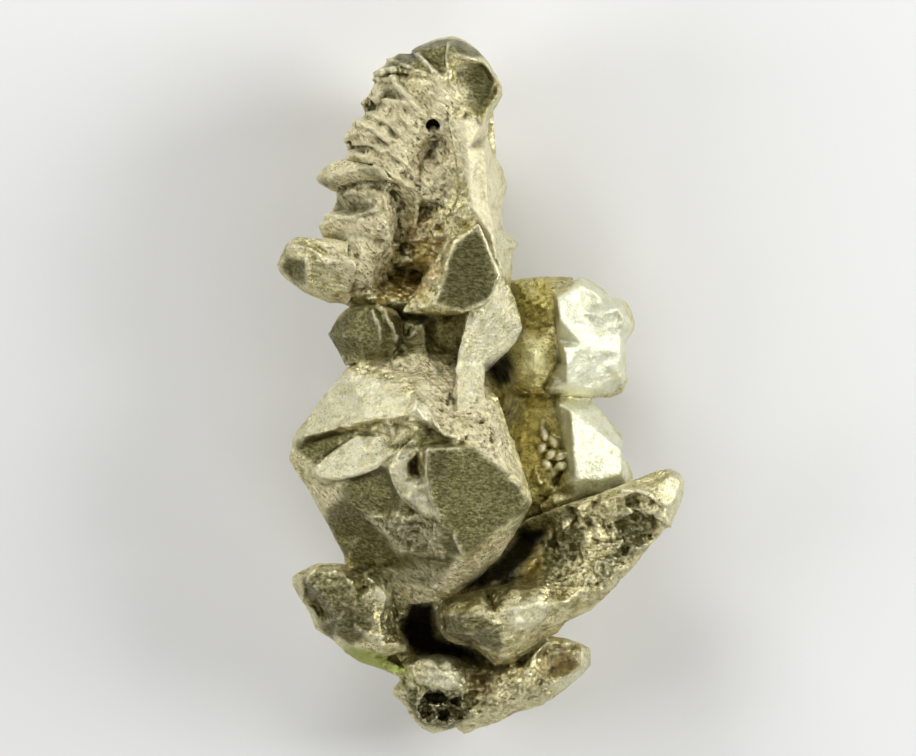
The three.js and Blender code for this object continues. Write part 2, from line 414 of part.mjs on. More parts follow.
// The golden stem between the right column and the main crystal, with its rounded swelling.
function stem() {
  const outline = [
    [0.9, 3.8, 3.4], [2.0, 3.92, 3.9], [3.3, 3.92, 3.9], [3.6, 3.0, 3.6], [3.6, 1.0, 3.6],
    [3.5, -1.0, 3.6], [3.4, -3.4, 3.6], [2.6, -4.3, 4.0], [1.3, -4.3, 4.0], [0.5, -3.0, 3.2],
    [0.3, -1.5, 2.6], [0.2, -0.3, 2.0], [0.2, 0.4, 1.8], [0.5, 1.5, 2.4], [0.8, 2.6, 3.2],
  ];
  const upper = [
    [1.5, 3.6, 4.1], [2.5, 3.6, 4.4], [3.0, 3.2, 4.6], [1.4, 3.0, 3.9], [2.0, 3.1, 4.3],
    [1.6, 2.5, 4.1], [2.4, 2.6, 4.6], [1.5, 2.1, 4.1], [2.1, 2.1, 4.4], [2.6, 2.1, 4.7],
    [3.0, 1.5, 4.7],
  ];
  const swelling = [
    [1.9, 1.0, 5.4], [1.5, 1.25, 5.2], [1.95, 1.5, 5.15], [2.35, 1.25, 5.15], [2.35, 0.7, 5.1],
    [1.95, 0.5, 5.15], [1.5, 0.7, 5.1], [1.1, 1.4, 4.6], [1.6, 1.9, 4.8], [2.35, 1.9, 4.9],
    [2.75, 1.2, 4.9], [2.6, 0.2, 4.8], [1.9, -0.1, 4.65], [1.25, 0.2, 4.4], [1.0, 0.8, 4.4],
  ];
  const gap = [[0.55, 0.4, 1.8], [0.8, -0.3, 2.2], [0.7, -0.9, 2.0], [1.2, -0.35, 3.2]];
  const lower = [
    [1.9, -0.35, 3.9], [2.5, -0.4, 4.2], [1.1, -1.0, 3.2], [1.6, -0.8, 4.1], [2.4, -0.8, 4.4],
    [3.0, -0.9, 4.5], [1.4, -1.7, 4.0], [2.1, -1.8, 4.4], [2.8, -1.6, 4.6], [1.5, -2.6, 4.2],
    [2.2, -2.7, 4.5], [2.9, -2.7, 4.6], [1.7, -3.4, 4.3], [2.4, -3.6, 4.5], [1.8, -4.0, 4.2],
  ];
  const grains = [
    [[2.28, -1.75, 4.5], [0.24, 0.32, 0.3], [10, 0, 20]],
    [[2.18, -2.22, 4.5], [0.24, 0.26, 0.3], [0, 10, 60]],
    [[2.6, -2.0, 4.6], [0.24, 0.32, 0.3], [0, 0, 35]],
    [[2.5, -2.45, 4.6], [0.2, 0.32, 0.3], [0, 0, -50]],
    [[2.85, -2.5, 4.7], [0.2, 0.32, 0.3], [0, 0, -60]],
    [[2.35, -2.8, 4.6], [0.2, 0.3, 0.3], [0, 0, 50]],
    [[2.85, -2.85, 4.7], [0.2, 0.3, 0.3], [0, 0, -70]],
    [[2.05, -3.3, 4.35], [0.4, 0.45, 0.5], [20, 10, 15]],
    [[2.4, -3.7, 4.25], [0.35, 0.4, 0.5], [-15, 20, 40]],
  ];
  const faces = [upper, swelling, gap, lower];
  return joined(
    relief(outline, faces.flat(), [2.0, -0.2, 1.6], 0.6),
    octahedron([1.9, 2.0, 2.4], [1.7, 1.9, 1.9], [-10, 12, 25]),
    octahedron([1.8, -2.2, 2.2], [1.7, 2.1, 1.8], [8, -14, 15]),
    grains.map((grain) => octahedron(...grain)),
  );
}

// The back of the right column, two octahedra.
function rightBack() {
  return joined(
    octahedron([3.5, 1.5, 2.4], [1.9, 2.2, 3.0], [10, 8, 12]),
    octahedron([3.4, -2.4, 2.3], [1.7, 1.8, 2.1], [-8, 12, 12]),
    octahedron([1.3, -0.4, 1.4], [1.8, 2.0, 1.0], [10, 6, 40]),
  );
}

// The arm that reaches out to the lower right: a pitted hollow along it, a rounded end at the left.
function arm() {
  const outline = [
    [1.0, -5.2, 4.4], [1.6, -4.75, 5.0], [2.3, -4.48, 5.4], [3.0, -4.2, 5.6], [4.2, -3.8, 5.7],
    [5.5, -3.3, 5.6], [6.4, -3.0, 5.3], [6.8, -2.97, 5.1], [7.1, -3.1, 4.9], [7.3, -3.4, 4.8],
    [7.25, -3.95, 4.7], [7.1, -4.4, 4.7], [6.8, -4.92, 4.8], [6.4, -5.35, 4.9],
    [5.95, -5.85, 5.0], [5.5, -6.4, 5.0], [5.0, -6.9, 5.1], [4.5, -7.45, 5.2], [3.9, -8.0, 5.2],
    [3.0, -8.45, 5.2], [2.75, -8.8, 5.0], [2.2, -9.1, 4.8], [1.9, -9.5, 4.6], [1.2, -9.9, 4.5],
    [0.5, -10.0, 4.5], [0.1, -9.6, 4.7], [-0.3, -9.3, 4.9], [-0.9, -9.2, 5.0],
    [-1.3, -9.0, 5.1], [-1.6, -8.5, 5.2], [-1.62, -8.0, 5.3], [-1.35, -7.65, 5.4],
    [-0.9, -7.48, 5.4], [0.1, -7.25, 5.4], [0.9, -7.05, 5.2], [1.4, -6.7, 4.6],
    [1.6, -6.2, 4.1], [1.5, -5.7, 3.9],
  ];
  const topBand = [
    [2.0, -5.45, 5.0], [2.9, -5.0, 5.8], [3.6, -4.4, 6.3], [4.3, -4.1, 6.5], [5.0, -3.85, 6.5],
    [5.7, -3.75, 6.4], [6.3, -3.6, 6.3], [6.75, -3.2, 6.1], [6.35, -3.95, 6.3],
  ];
  const tip = [[7.1, -3.4, 6.0], [6.9, -4.0, 6.1], [6.6, -4.3, 6.3], [6.55, -4.75, 6.2]];
  const ledge = [
    [4.0, -4.4, 6.0], [4.6, -4.5, 6.1], [5.2, -4.3, 6.15], [5.9, -4.3, 6.1], [6.2, -4.5, 6.1],
    [5.3, -4.05, 5.9],
  ];
  const hollow = [
    [2.4, -5.6, 4.9], [3.0, -5.35, 5.5], [3.5, -4.9, 5.7], [4.1, -4.75, 5.7],
    [4.7, -4.85, 5.6], [5.4, -4.6, 5.7], [6.0, -4.75, 5.65], [6.25, -5.1, 5.6],
    [5.1, -5.4, 5.5], [5.8, -5.4, 5.6], [4.3, -5.5, 5.6], [3.6, -5.6, 5.6], [2.7, -6.1, 5.3],
    [3.6, -6.3, 5.8], [2.1, -6.5, 5.2], [2.9, -6.8, 5.8], [5.2, -6.1, 5.5],
  ];
  const lowerRim = [
    [6.45, -5.0, 6.0], [5.9, -5.65, 6.0], [5.5, -5.9, 5.8], [5.2, -6.5, 5.9],
    [4.7, -5.9, 6.1], [4.2, -6.3, 6.3], [3.8, -6.8, 6.4], [4.6, -6.6, 6.3], [4.7, -6.95, 6.0],
    [4.2, -7.3, 6.1], [3.6, -7.2, 6.3], [3.7, -7.75, 5.9],
  ];
  const lobe = [
    [-0.9, -7.75, 6.5], [0.0, -7.5, 6.7], [1.0, -7.3, 6.8], [2.0, -7.2, 6.6], [-1.3, -8.1, 6.4],
    [-0.7, -8.2, 7.1], [0.2, -8.0, 7.3], [1.2, -7.9, 7.3], [2.2, -7.7, 6.9], [3.0, -7.7, 6.5],
    [-1.2, -8.7, 6.2], [-0.5, -8.8, 6.7], [0.3, -8.7, 7.0], [1.2, -8.5, 7.1], [2.2, -8.3, 6.6],
    [0.0, -9.2, 6.2], [0.7, -9.4, 6.2], [1.5, -9.1, 6.2], [1.0, -9.7, 5.3], [0.5, -8.1, 7.1],
    [0.1, -8.4, 6.9],
  ];
  const faces = [topBand, tip, ledge, hollow, lowerRim, lobe];
  return relief(outline, faces.flat(), [2.4, -6.9, 3.2], 0.8);
}

// The back of the arm, and the low body that joins the crystals at the foot of the specimen.
function footBack() {
  return joined(
    crystal(
      [6.6, -3.6, 4.6], [5.8, -3.4, 5.0], [6.2, -5.2, 4.6], [3.4, -7.8, 4.6], [-0.9, -8.8, 4.8],
      [-0.8, -7.8, 5.0], [1.4, -5.2, 4.2], [5.0, -4.4, 2.2], [3.4, -6.8, 1.6], [0.4, -8.6, 1.4],
      [1.0, -5.4, 1.6], [2.4, -4.4, 2.6],
    ),
    octahedron([2.2, -6.6, 2.4], [2.6, 2.0, 2.3], [14, -10, 40]),
    crystal(
      [-4.2, -6.6, 3.4], [-2.0, -5.4, 3.8], [1.2, -3.6, 3.4], [2.8, -4.2, 3.2], [2.6, -6.8, 3.2],
      [1.6, -9.6, 2.4], [-1.6, -10.2, 2.0], [-3.7, -9.7, 2.2], [-3.6, -8.8, 2.4], [-3.4, -6.8, 1.2],
      [1.2, -5.6, 1.2], [1.4, -9.2, 0.8], [-1.4, -10.2, 0.6], [-2.8, -8.6, 0.8],
    ),
  );
}

// The dark crystal at the lower left, with a ring of bright grains round a small hollow.
function lowerLeft() {
  const outline = [
    [-4.9, -6.35, 4.9], [-5.9, -6.35, 4.9], [-6.3, -6.55, 4.8], [-6.75, -6.8, 4.6],
    [-6.75, -7.1, 4.5], [-6.4, -7.7, 4.3], [-6.1, -8.15, 4.2], [-5.9, -8.7, 4.1],
    [-5.3, -9.1, 4.1], [-4.9, -9.5, 4.0], [-4.3, -9.9, 4.0], [-3.5, -10.1, 4.0],
    [-3.3, -9.65, 4.4], [-2.6, -9.45, 4.6], [-2.55, -9.1, 4.7], [-2.9, -8.75, 4.7],
    [-3.0, -8.4, 4.7], [-2.6, -8.2, 4.7], [-2.6, -8.0, 4.8], [-3.1, -7.8, 5.0],
    [-3.1, -7.3, 5.2], [-3.4, -6.9, 5.2], [-4.2, -6.6, 5.2],
  ];
  const edgeBand = [
    [-6.35, -7.35, 5.3], [-6.0, -8.0, 5.1], [-5.7, -8.5, 4.9], [-6.2, -7.3, 5.0],
    [-5.8, -7.9, 4.8], [-5.4, -8.6, 4.6],
  ];
  const top = [
    [-6.4, -6.95, 5.7], [-5.8, -6.6, 5.9], [-5.0, -6.6, 6.1], [-5.9, -7.2, 6.2],
    [-5.2, -7.1, 6.4], [-5.6, -7.7, 6.1], [-5.1, -8.3, 6.0], [-4.8, -7.7, 6.4],
    [-4.6, -6.9, 6.6], [-4.0, -6.85, 6.7], [-3.6, -7.1, 6.7], [-3.4, -7.5, 6.6],
    [-3.9, -7.6, 6.5], [-4.35, -7.45, 6.4], [-4.2, -7.15, 5.9], [-3.5, -8.0, 6.2],
    [-4.2, -8.1, 6.2], [-4.6, -8.6, 5.7], [-5.2, -8.85, 5.2], [-3.6, -8.5, 6.1],
    [-4.0, -8.8, 6.0], [-3.5, -9.2, 5.9], [-3.0, -9.2, 5.8], [-2.8, -9.2, 5.5],
    [-4.0, -9.05, 5.4], [-3.6, -9.4, 5.2], [-4.7, -9.2, 5.0], [-3.9, -9.6, 4.8],
    [-2.85, -8.1, 5.5],
  ];
  const link = crystal(
    [-4.9, -9.55, 4.0], [-3.5, -9.75, 4.3], [-3.4, -10.12, 4.1], [-2.75, -10.1, 4.0],
    [-2.8, -10.48, 3.8], [-3.9, -9.9, 3.4], [-2.6, -10.2, 2.4], [-4.3, -9.5, 3.0],
    [-3.2, -9.5, 2.4],
  );
  return joined(relief(outline, [...edgeBand, ...top], [-4.5, -7.9, 2.8], 0.75), link);
}

// The lump at the foot: small bright crystals on the left, a rusty cavity on the right.
function footLump() {
  const outline = [
    [3.1, -9.0, 4.2], [3.5, -9.15, 4.0], [3.95, -9.4, 3.8], [3.95, -10.0, 3.6],
    [3.6, -10.4, 3.5], [2.9, -11.0, 3.4], [2.2, -11.45, 3.2], [1.2, -11.7, 3.1],
    [0.6, -12.1, 2.9], [0.2, -12.2, 2.8], [-0.6, -12.5, 2.6], [-0.9, -12.25, 2.7],
    [-1.3, -12.4, 2.6], [-1.7, -12.5, 2.6], [-2.1, -12.3, 2.6], [-2.4, -12.0, 2.7],
    [-2.7, -11.5, 2.9], [-3.15, -11.1, 3.0], [-3.2, -10.9, 3.1], [-2.95, -10.6, 3.3],
    [-2.95, -9.9, 3.7], [-2.6, -9.7, 3.8], [-1.5, -9.55, 3.8], [-0.9, -9.65, 3.8],
    [-0.3, -10.1, 3.6], [0.4, -10.1, 3.6], [1.2, -9.7, 3.8], [2.2, -8.9, 4.2],
  ];
  const inner = [
    [-2.55, -10.0, 4.5], [-2.1, -9.75, 4.6], [-2.0, -10.6, 4.6], [-2.4, -10.6, 4.1],
    [-1.85, -9.7, 4.7], [-1.45, -10.1, 5.1], [-1.6, -10.75, 4.9], [-1.2, -9.85, 4.9],
    [-0.85, -10.1, 4.7], [-0.95, -10.6, 5.1], [-1.35, -10.85, 4.9], [-0.6, -10.8, 4.5],
    [-2.7, -10.9, 4.0], [-2.9, -11.1, 3.7], [-2.3, -11.2, 4.0], [-2.3, -11.7, 3.7],
    [-2.0, -10.95, 4.2], [-1.5, -10.92, 4.3], [-1.05, -11.0, 4.2], [-0.65, -10.95, 4.2],
    [-1.85, -11.05, 3.5], [-1.4, -11.2, 3.2], [-0.9, -11.25, 3.4], [-2.15, -11.3, 3.8],
    [-1.65, -11.45, 4.0], [-1.15, -11.38, 3.8], [-0.75, -11.5, 4.0], [-1.9, -11.68, 3.2],
    [-1.35, -11.8, 3.1], [-0.85, -11.7, 3.5], [-2.0, -12.05, 3.6], [-1.55, -12.0, 3.6],
    [-1.1, -12.05, 3.6], [-0.6, -12.0, 3.8], [-0.4, -11.6, 4.1],
    [0.0, -11.8, 3.9], [-0.3, -11.2, 3.9], [0.0, -10.6, 3.8], [0.5, -10.4, 4.6],
    [0.5, -11.0, 4.7], [0.6, -11.5, 4.2], [1.1, -10.5, 4.9], [1.6, -10.9, 4.8],
    [1.2, -11.3, 4.3], [1.0, -10.15, 4.7], [1.7, -10.1, 5.0], [1.9, -9.6, 5.0],
    [2.4, -9.1, 4.9], [3.1, -9.2, 4.9], [3.6, -9.4, 4.8], [3.6, -9.95, 4.8],
    [3.2, -10.3, 4.8], [2.6, -10.6, 4.8], [2.1, -10.4, 4.8], [2.3, -9.6, 4.5],
    [3.1, -9.5, 4.5], [3.2, -9.9, 4.4], [2.5, -10.1, 4.4], [2.2, -11.1, 4.2],
    [2.7, -10.85, 4.2],
  ];
  return joined(
    relief(outline, inner, [0.2, -10.8, 1.6], 0.8),
    octahedron([-0.4, -10.8, 2.0], [2.2, 1.5, 2.6], [0, 8, 10]),
    octahedron([2.0, -10.0, 2.2], [1.6, 1.2, 1.6], [10, 0, 30]),
  );
}

const specimen = joined(
  mainCrystal(),
  mainBack(),
  topColumn(),
  columnBack(),
  blade(),
  bluntSpur(),
  overhang(),
  neck(),
  rightUpper(),
  rightLower(),
  rightBack(),
  stem(),
  arm(),
  footBack(),
  lowerLeft(),
  footLump(),
)
  .trimByPlane([0, 0, 1], REST)
  .scale(LENGTH / MEASURED);

function geometryOf(solid) {
  const mesh = solid.getMesh();
  const geometry = new THREE.BufferGeometry();
  geometry.setAttribute("position", new THREE.BufferAttribute(mesh.vertProperties, 3));
  geometry.setIndex(new THREE.BufferAttribute(mesh.triVerts, 1));
  geometry.computeVertexNormals();
  return geometry;
}

const electrum = new THREE.MeshStandardMaterial({
  color: 0xb9ae7c,
  metalness: 1,
  roughness: 0.45,
  flatShading: true,
});
electrum.name = "electrum";

const crystals = new THREE.Mesh(geometryOf(specimen), electrum);
crystals.name = "electrum_crystals";

const group = new THREE.Group();
group.name = "electrum_specimen";
group.add(crystals);

export default group;
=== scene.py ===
"""A natural electrum specimen: pale gold-silver crystals grown together, lying on their back.

Metres, +Z up. The camera looks straight down, with the head of the specimen (+Y) at the top.
Places on the specimen are given in millimetres, as they are seen from above.
"""

import itertools
import math

import bpy
import numpy as np
from mathutils import Matrix, Vector


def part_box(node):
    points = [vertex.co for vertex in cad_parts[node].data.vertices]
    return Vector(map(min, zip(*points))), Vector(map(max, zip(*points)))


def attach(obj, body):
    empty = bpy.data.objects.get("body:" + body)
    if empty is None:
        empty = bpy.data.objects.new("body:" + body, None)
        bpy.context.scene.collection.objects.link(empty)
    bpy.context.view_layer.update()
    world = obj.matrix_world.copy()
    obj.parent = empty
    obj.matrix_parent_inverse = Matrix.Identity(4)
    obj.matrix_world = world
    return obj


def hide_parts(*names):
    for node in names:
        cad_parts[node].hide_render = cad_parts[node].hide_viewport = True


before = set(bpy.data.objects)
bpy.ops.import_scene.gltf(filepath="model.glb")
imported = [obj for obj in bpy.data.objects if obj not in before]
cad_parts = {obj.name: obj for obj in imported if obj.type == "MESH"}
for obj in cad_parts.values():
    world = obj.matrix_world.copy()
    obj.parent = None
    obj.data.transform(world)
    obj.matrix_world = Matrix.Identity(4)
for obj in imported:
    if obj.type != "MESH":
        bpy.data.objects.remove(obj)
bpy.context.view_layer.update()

# The crystals: one natural group of electrum, a gold-silver alloy, grown together in one piece.
# Flat growth faces carry fine steps and lines, older parts a knobbly crust, and the hollows hold
# rusty and brown stains left by the vein they grew in.

MM = 0.001


def within(points, outline, soft=0.12):
    """1 inside an outline of [x, y] corners, 0 outside, with an edge `soft` wide."""
    x, y = points[:, 0], points[:, 1]
    inside = np.zeros(len(points), bool)
    distance = np.full(len(points), np.inf)
    for (x1, y1), (x2, y2) in zip(outline, outline[1:] + outline[:1]):
        crosses = ((y1 > y) != (y2 > y)) & (x < x1 + (y - y1) * (x2 - x1) / (y2 - y1 + 1e-9))
        inside ^= crosses
        along = ((x - x1) * (x2 - x1) + (y - y1) * (y2 - y1)) / ((x2 - x1) ** 2 + (y2 - y1) ** 2)
        along = np.clip(along, 0, 1)
        gap = np.hypot(x - x1 - along * (x2 - x1), y - y1 - along * (y2 - y1))
        distance = np.minimum(distance, gap)
    signed = np.where(inside, distance, -distance)
    return np.clip(signed / soft + 0.5, 0, 1)


def chance(cells, salt):
    """A number from 0 to 1 for each whole-numbered place, always the same for that place."""
    mixed = cells.astype(np.int64) @ np.array([374761393, 668265263, 1440662683]) + salt * 7919
    mixed = (mixed ^ (mixed >> 13)) * 1274126177
    return ((mixed ^ (mixed >> 16)) & 0xFFFFFF) / 0xFFFFFF


def lumps(points, size, salt=0):
    """Smooth noise from -1 to 1, with lumps about `size` across."""
    cells = np.floor(points / size)
    part = points / size - cells
    part = part * part * (3 - 2 * part)
    total = np.zeros(len(points))
    for corner in itertools.product((0, 1), repeat=3):
        weight = np.where(corner, part, 1 - part).prod(axis=1)
        total += weight * chance(cells + corner, salt)
    return total * 2 - 1


def ragged(points, size, salt=0):
    """Noise from 0 to 1 with sharp crests over pits, in four sizes from `size` down."""
    shares = [0.4, 0.28, 0.2, 0.12]
    total = np.zeros(len(points))
    for octave, share in enumerate(shares):
        total += share * (1 - np.abs(lumps(points, size / 2**octave, salt + octave)))
    return total


def left_of(points, line, width):
    """1 just left of a broken line, falling to 0 at `width` from it, and 0 on its right."""
    x, y = points[:, 0], points[:, 1]
    nearest = np.full(len(points), np.inf)
    side = np.zeros(len(points))
    for (x1, y1), (x2, y2) in zip(line, line[1:]):
        run, rise = x2 - x1, y2 - y1
        along = np.clip(((x - x1) * run + (y - y1) * rise) / (run**2 + rise**2), 0, 1)
        gap = np.hypot(x - x1 - along * run, y - y1 - along * rise)
        cross = (run * (y - y1) - rise * (x - x1)) / math.hypot(run, rise)
        side = np.where(gap < nearest, np.clip(cross / 0.05 + 0.5, 0, 1), side)
        nearest = np.minimum(nearest, gap)
    return side * np.clip(1 - nearest / width, 0, 1) ** 1.5


def places_of(mesh):
    """Where each corner of the mesh is, as rows of x, y and z."""
    places = np.empty(len(mesh.vertices) * 3)
    mesh.vertices.foreach_get("co", places)
    return places.reshape(-1, 3)


def normals_of(mesh):
    """The way the surface faces at each corner of the mesh."""
    normals = np.empty(len(mesh.vertices) * 3)
    mesh.vertex_normals.foreach_get("vector", normals)
    return normals.reshape(-1, 3)


def move_to(mesh, places):
    mesh.vertices.foreach_set("co", places.ravel())
    mesh.update()


def applied(piece, kind, **settings):
    """The piece's mesh with one modifier applied."""
    modifier = piece.modifiers.new(kind.title(), kind)
    for name, value in settings.items():
        setattr(modifier, name, value)
    graph = bpy.context.evaluated_depsgraph_get()
    mesh = bpy.data.meshes.new_from_object(piece.evaluated_get(graph))
    piece.modifiers.clear()
    piece.data = mesh
    return mesh


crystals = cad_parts["electrum_crystals"].copy()
crystals.name = "electrum_group"
crystals.data = crystals.data.copy()
bpy.context.scene.collection.objects.link(crystals)
crystals.data.transform(Matrix.Scale(1 / MM, 4))
FINEST = 0.055
mesh = applied(crystals, "REMESH", mode="VOXEL", voxel_size=FINEST)

# Ragged and pitted ground. Each place has its outline, the size of its lumps and how deep it is.
ROUGH = [
    # the crust below the crescent of the main crystal
    ([[-4.1, -4.6], [-3.3, -4.5], [-2.4, -4.7], [-1.5, -4.9], [-1.4, -5.6], [-1.3, -6.0],
      [-2.6, -5.95], [-3.4, -5.6]], 0.5, 0.55),
    # between the neck and the flat plate
    ([[-2.0, 0.3], [-0.95, 0.5], [-0.9, -0.9], [-0.4, -1.9], [-1.7, -1.6], [-1.9, -1.0]],
     0.45, 0.28),
    # the rib along the right of the main crystal
    ([[0.0, 0.0], [0.6, -0.4], [0.95, -1.4], [1.2, -2.3], [0.3, -2.3], [-0.5, -1.6], [-0.8, -0.9]],
     0.4, 0.5),
    # the foot of the lowest faces of the main crystal
    ([[-4.9, -5.9], [-3.2, -6.2], [-1.0, -6.3], [-1.8, -7.7], [-3.2, -7.4]], 0.5, 0.26),
    # the left side of the column
    ([[-3.8, 11.4], [-2.3, 12.2], [-1.1, 11.2], [-0.9, 9.6], [-1.1, 7.0], [-2.8, 7.0], [-3.4, 5.2],
      [-3.3, 3.2], [-5.2, 3.0], [-6.0, 5.6], [-5.9, 7.4], [-5.0, 8.9], [-4.4, 10.1]], 0.45, 0.13),
    # ledges in the hollow of the column
    ([[-3.5, 7.6], [-1.3, 7.6], [-1.2, 5.4], [-1.4, 3.9], [-2.2, 3.0], [-3.9, 3.0], [-3.5, 5.0]],
     0.5, 0.4),
    # the niche of the neck
    ([[-2.8, 2.4], [-0.8, 2.5], [-0.9, 1.0], [-1.5, 0.3], [-3.4, 0.5]], 0.5, 0.22),
    # the rounded end of the arm
    ([[-1.6, -7.7], [1.0, -7.3], [2.4, -7.2], [3.3, -8.0], [2.2, -9.1], [1.2, -9.9], [0.3, -9.9],
      [-1.3, -9.0]], 0.45, 0.16),
    # the hollow along the arm
    ([[2.0, -5.3], [3.6, -4.4], [5.2, -4.0], [6.3, -4.0], [6.6, -5.0], [5.3, -6.5], [4.4, -7.5],
      [2.4, -7.0]], 0.55, 0.42),
    # the crystal at the lower left
    ([[-6.8, -6.8], [-5.0, -6.3], [-3.2, -6.9], [-2.6, -8.2], [-2.6, -9.4], [-3.8, -9.3],
      [-5.4, -8.6]], 0.45, 0.24),
    # the lump at the foot
    ([[-3.3, -10.8], [-2.4, -9.6], [0.5, -10.0], [1.8, -10.2], [3.4, -10.2], [2.2, -11.5],
      [-0.8, -12.6], [-2.6, -12.0]], 0.5, 0.3),
    # the crevices of the right column
    ([[3.6, 3.4], [5.2, 3.2], [5.6, 2.2], [5.2, 1.6], [3.7, 1.9]], 0.6, 0.14),
    ([[4.1, 0.9], [5.3, 0.8], [5.2, -0.3], [4.1, -0.4]], 0.5, 0.12),
    # the left crystals of the foot, round their slots
    ([[-2.7, -10.7], [-0.4, -10.7], [-0.1, -12.0], [-2.5, -12.2]], 0.35, 0.35),
]
# Edges of growth plates. The crystal stands out on the left of each line by the height, and falls
# back to its face over the width.
LEDGES = [
    ([[-2.4, 11.8], [-2.16, 11.55], [-1.9, 11.3], [-1.5, 10.92]], 0.18, 0.4),
    ([[-1.21, 12.0], [-1.24, 11.5], [-1.17, 11.02]], 0.15, 0.4),
    ([[-3.1, 10.75], [-2.8, 10.4], [-2.46, 10.0], [-2.2, 9.75]], 0.16, 0.4),
    ([[-2.67, 9.32], [-2.35, 8.95]], 0.18, 0.4),
    ([[-3.75, 11.08], [-3.2, 11.2], [-2.8, 11.17], [-2.0, 11.0]], 0.15, 0.3),
    ([[-3.3, 11.55], [-2.8, 11.38], [-2.2, 11.15]], 0.14, 0.25),
    ([[-3.75, 10.85], [-2.95, 10.8]], 0.18, 0.3),
    ([[-2.7, 10.1], [-3.2, 10.2], [-3.8, 10.3]], 0.18, 0.35),
    ([[-4.5, 9.3], [-3.9, 9.1], [-3.4, 8.7]], 0.2, 0.4),
    ([[-4.7, 8.65], [-4.0, 8.6], [-3.6, 8.3]], 0.17, 0.35),
    ([[-4.7, 8.1], [-3.95, 7.9], [-3.2, 7.42]], 0.2, 0.4),
    ([[-5.5, 6.0], [-4.6, 5.9], [-3.7, 6.2]], 0.16, 0.3),
    ([[-6.66, 4.83], [-5.98, 4.7], [-5.51, 4.39], [-4.63, 4.36]], 0.22, 0.35),
    ([[-5.98, 5.1], [-5.51, 4.83], [-4.97, 4.56]], 0.15, 0.25),
    ([[-6.25, 4.5], [-6.2, 3.65]], 0.15, 0.3),
    ([[-3.9, 9.6], [-3.3, 9.3], [-2.8, 8.8]], 0.14, 0.35),
    ([[-3.3, 8.3], [-2.7, 7.9], [-2.4, 7.4]], 0.14, 0.3),
    ([[-1.1, 9.4], [-0.93, 8.63], [-0.78, 7.87], [-0.7, 6.96], [-0.95, 6.0]], 0.16, 0.5),
    ([[-0.02, 8.33], [0.1, 7.47], [0.13, 6.55], [0.4, 5.34]], 0.08, 0.25),
    ([[-1.57, -1.6], [-1.1, -1.83], [-0.5, -2.03]], 0.12, 0.25),
    ([[-5.85, -2.95], [-5.65, -3.2], [-5.1, -3.25], [-4.55, -3.18], [-4.1, -3.0], [-3.6, -2.8],
      [-3.1, -2.45]], 0.14, 0.4),
    ([[-3.6, -1.8], [-4.4, -1.8], [-5.0, -2.22], [-5.5, -2.58], [-5.85, -2.95]], 0.12, 0.35),
    ([[-2.5, -1.95], [-2.9, -2.4], [-3.22, -2.88], [-3.05, -3.4], [-2.8, -3.85], [-2.3, -4.3],
      [-1.75, -4.65]], 0.2, 0.45),
    ([[-1.93, -2.2], [-1.97, -3.13], [-1.83, -3.93]], 0.07, 0.3),
    ([[-1.0, -5.35], [-0.72, -5.95]], 0.1, 0.25),
    ([[5.0, -3.83], [5.53, -3.77], [6.0, -3.93], [6.33, -4.2]], 0.15, 0.3),
    ([[4.4, -4.6], [4.93, -4.57], [5.53, -4.4], [6.2, -4.5], [6.6, -4.93]], 0.2, 0.3),
    ([[-3.1, -8.9], [-3.9, -8.8], [-4.4, -8.5]], 0.12, 0.3),
]

# Small round pits in the column: place, radius and depth.
PITS = [(-1.72, 9.22, 0.2, 0.4), (-3.95, 9.98, 0.17, 0.2), (-4.69, 8.6, 0.15, 0.2)]

# Gentle unevenness of every face: height, width of its lumps and salt.
UNEVEN = [(0.03, 0.8, 1), (0.012, 0.25, 2), (0.009, 0.14, 3)]

places = places_of(mesh)
normals = normals_of(mesh)
facing_up = np.clip(normals[:, 2] * 3 + 0.6, 0, 1)
wavering = places + 0.2 * np.stack([lumps(places, 0.9, salt) for salt in (11, 12, 13)], axis=1)
lift = np.zeros(len(places))
for height, size, salt in UNEVEN:
    lift += height * lumps(places, size, salt)
for outline, size, depth in ROUGH:
    cover = within(wavering, outline, 0.5) * facing_up
    touched = cover > 0
    lift[touched] += depth * cover[touched] * (ragged(wavering[touched], size, 5) - 0.75)
for line, height, width in LEDGES:
    lift += height * left_of(places, line, width) * facing_up
for x, y, radius, depth in PITS:
    reach = np.hypot(places[:, 0] - x, places[:, 1] - y) / radius
    lift -= depth * np.clip(3 - 2.4 * reach, 0, 1) * facing_up
places += normals * lift[:, None]
lowest, highest = (np.array(corner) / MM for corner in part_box("electrum_crystals"))
move_to(mesh, np.clip(places, lowest, highest))

# How hollow the surface is, from how far it lies under its smoothed neighbourhood.
places = places_of(mesh)
normals = normals_of(mesh)
edges = np.empty(len(mesh.edges) * 2, int)
mesh.edges.foreach_get("vertices", edges)
first, second = edges.reshape(-1, 2).T
count = np.bincount(edges, minlength=len(places))[:, None]


def smoothed(values, rounds):
    """The values averaged over each corner's neighbours, in so many rounds."""
    for _ in range(rounds):
        total = np.zeros_like(values)
        for column in range(values.shape[1]):
            total[:, column] = np.bincount(first, values[second, column], len(values))
            total[:, column] += np.bincount(second, values[first, column], len(values))
        values = total / np.maximum(count, 1)
    return values


FINE_DEPTH, WIDE_DEPTH = 0.05, 0.35
fine_hollow = ((smoothed(places, 6) - places) * normals).sum(axis=1) / FINE_DEPTH
wide_hollow = ((smoothed(places, 60) - places) * normals).sum(axis=1) / WIDE_DEPTH


def mark(name, amounts):
    """Stores one number from 0 to 1 for each corner of the mesh, for the material to read."""
    attribute = mesh.attributes.new(name, "FLOAT", "POINT")
    attribute.data.foreach_set("value", np.clip(amounts, 0, 1).astype(np.float32))


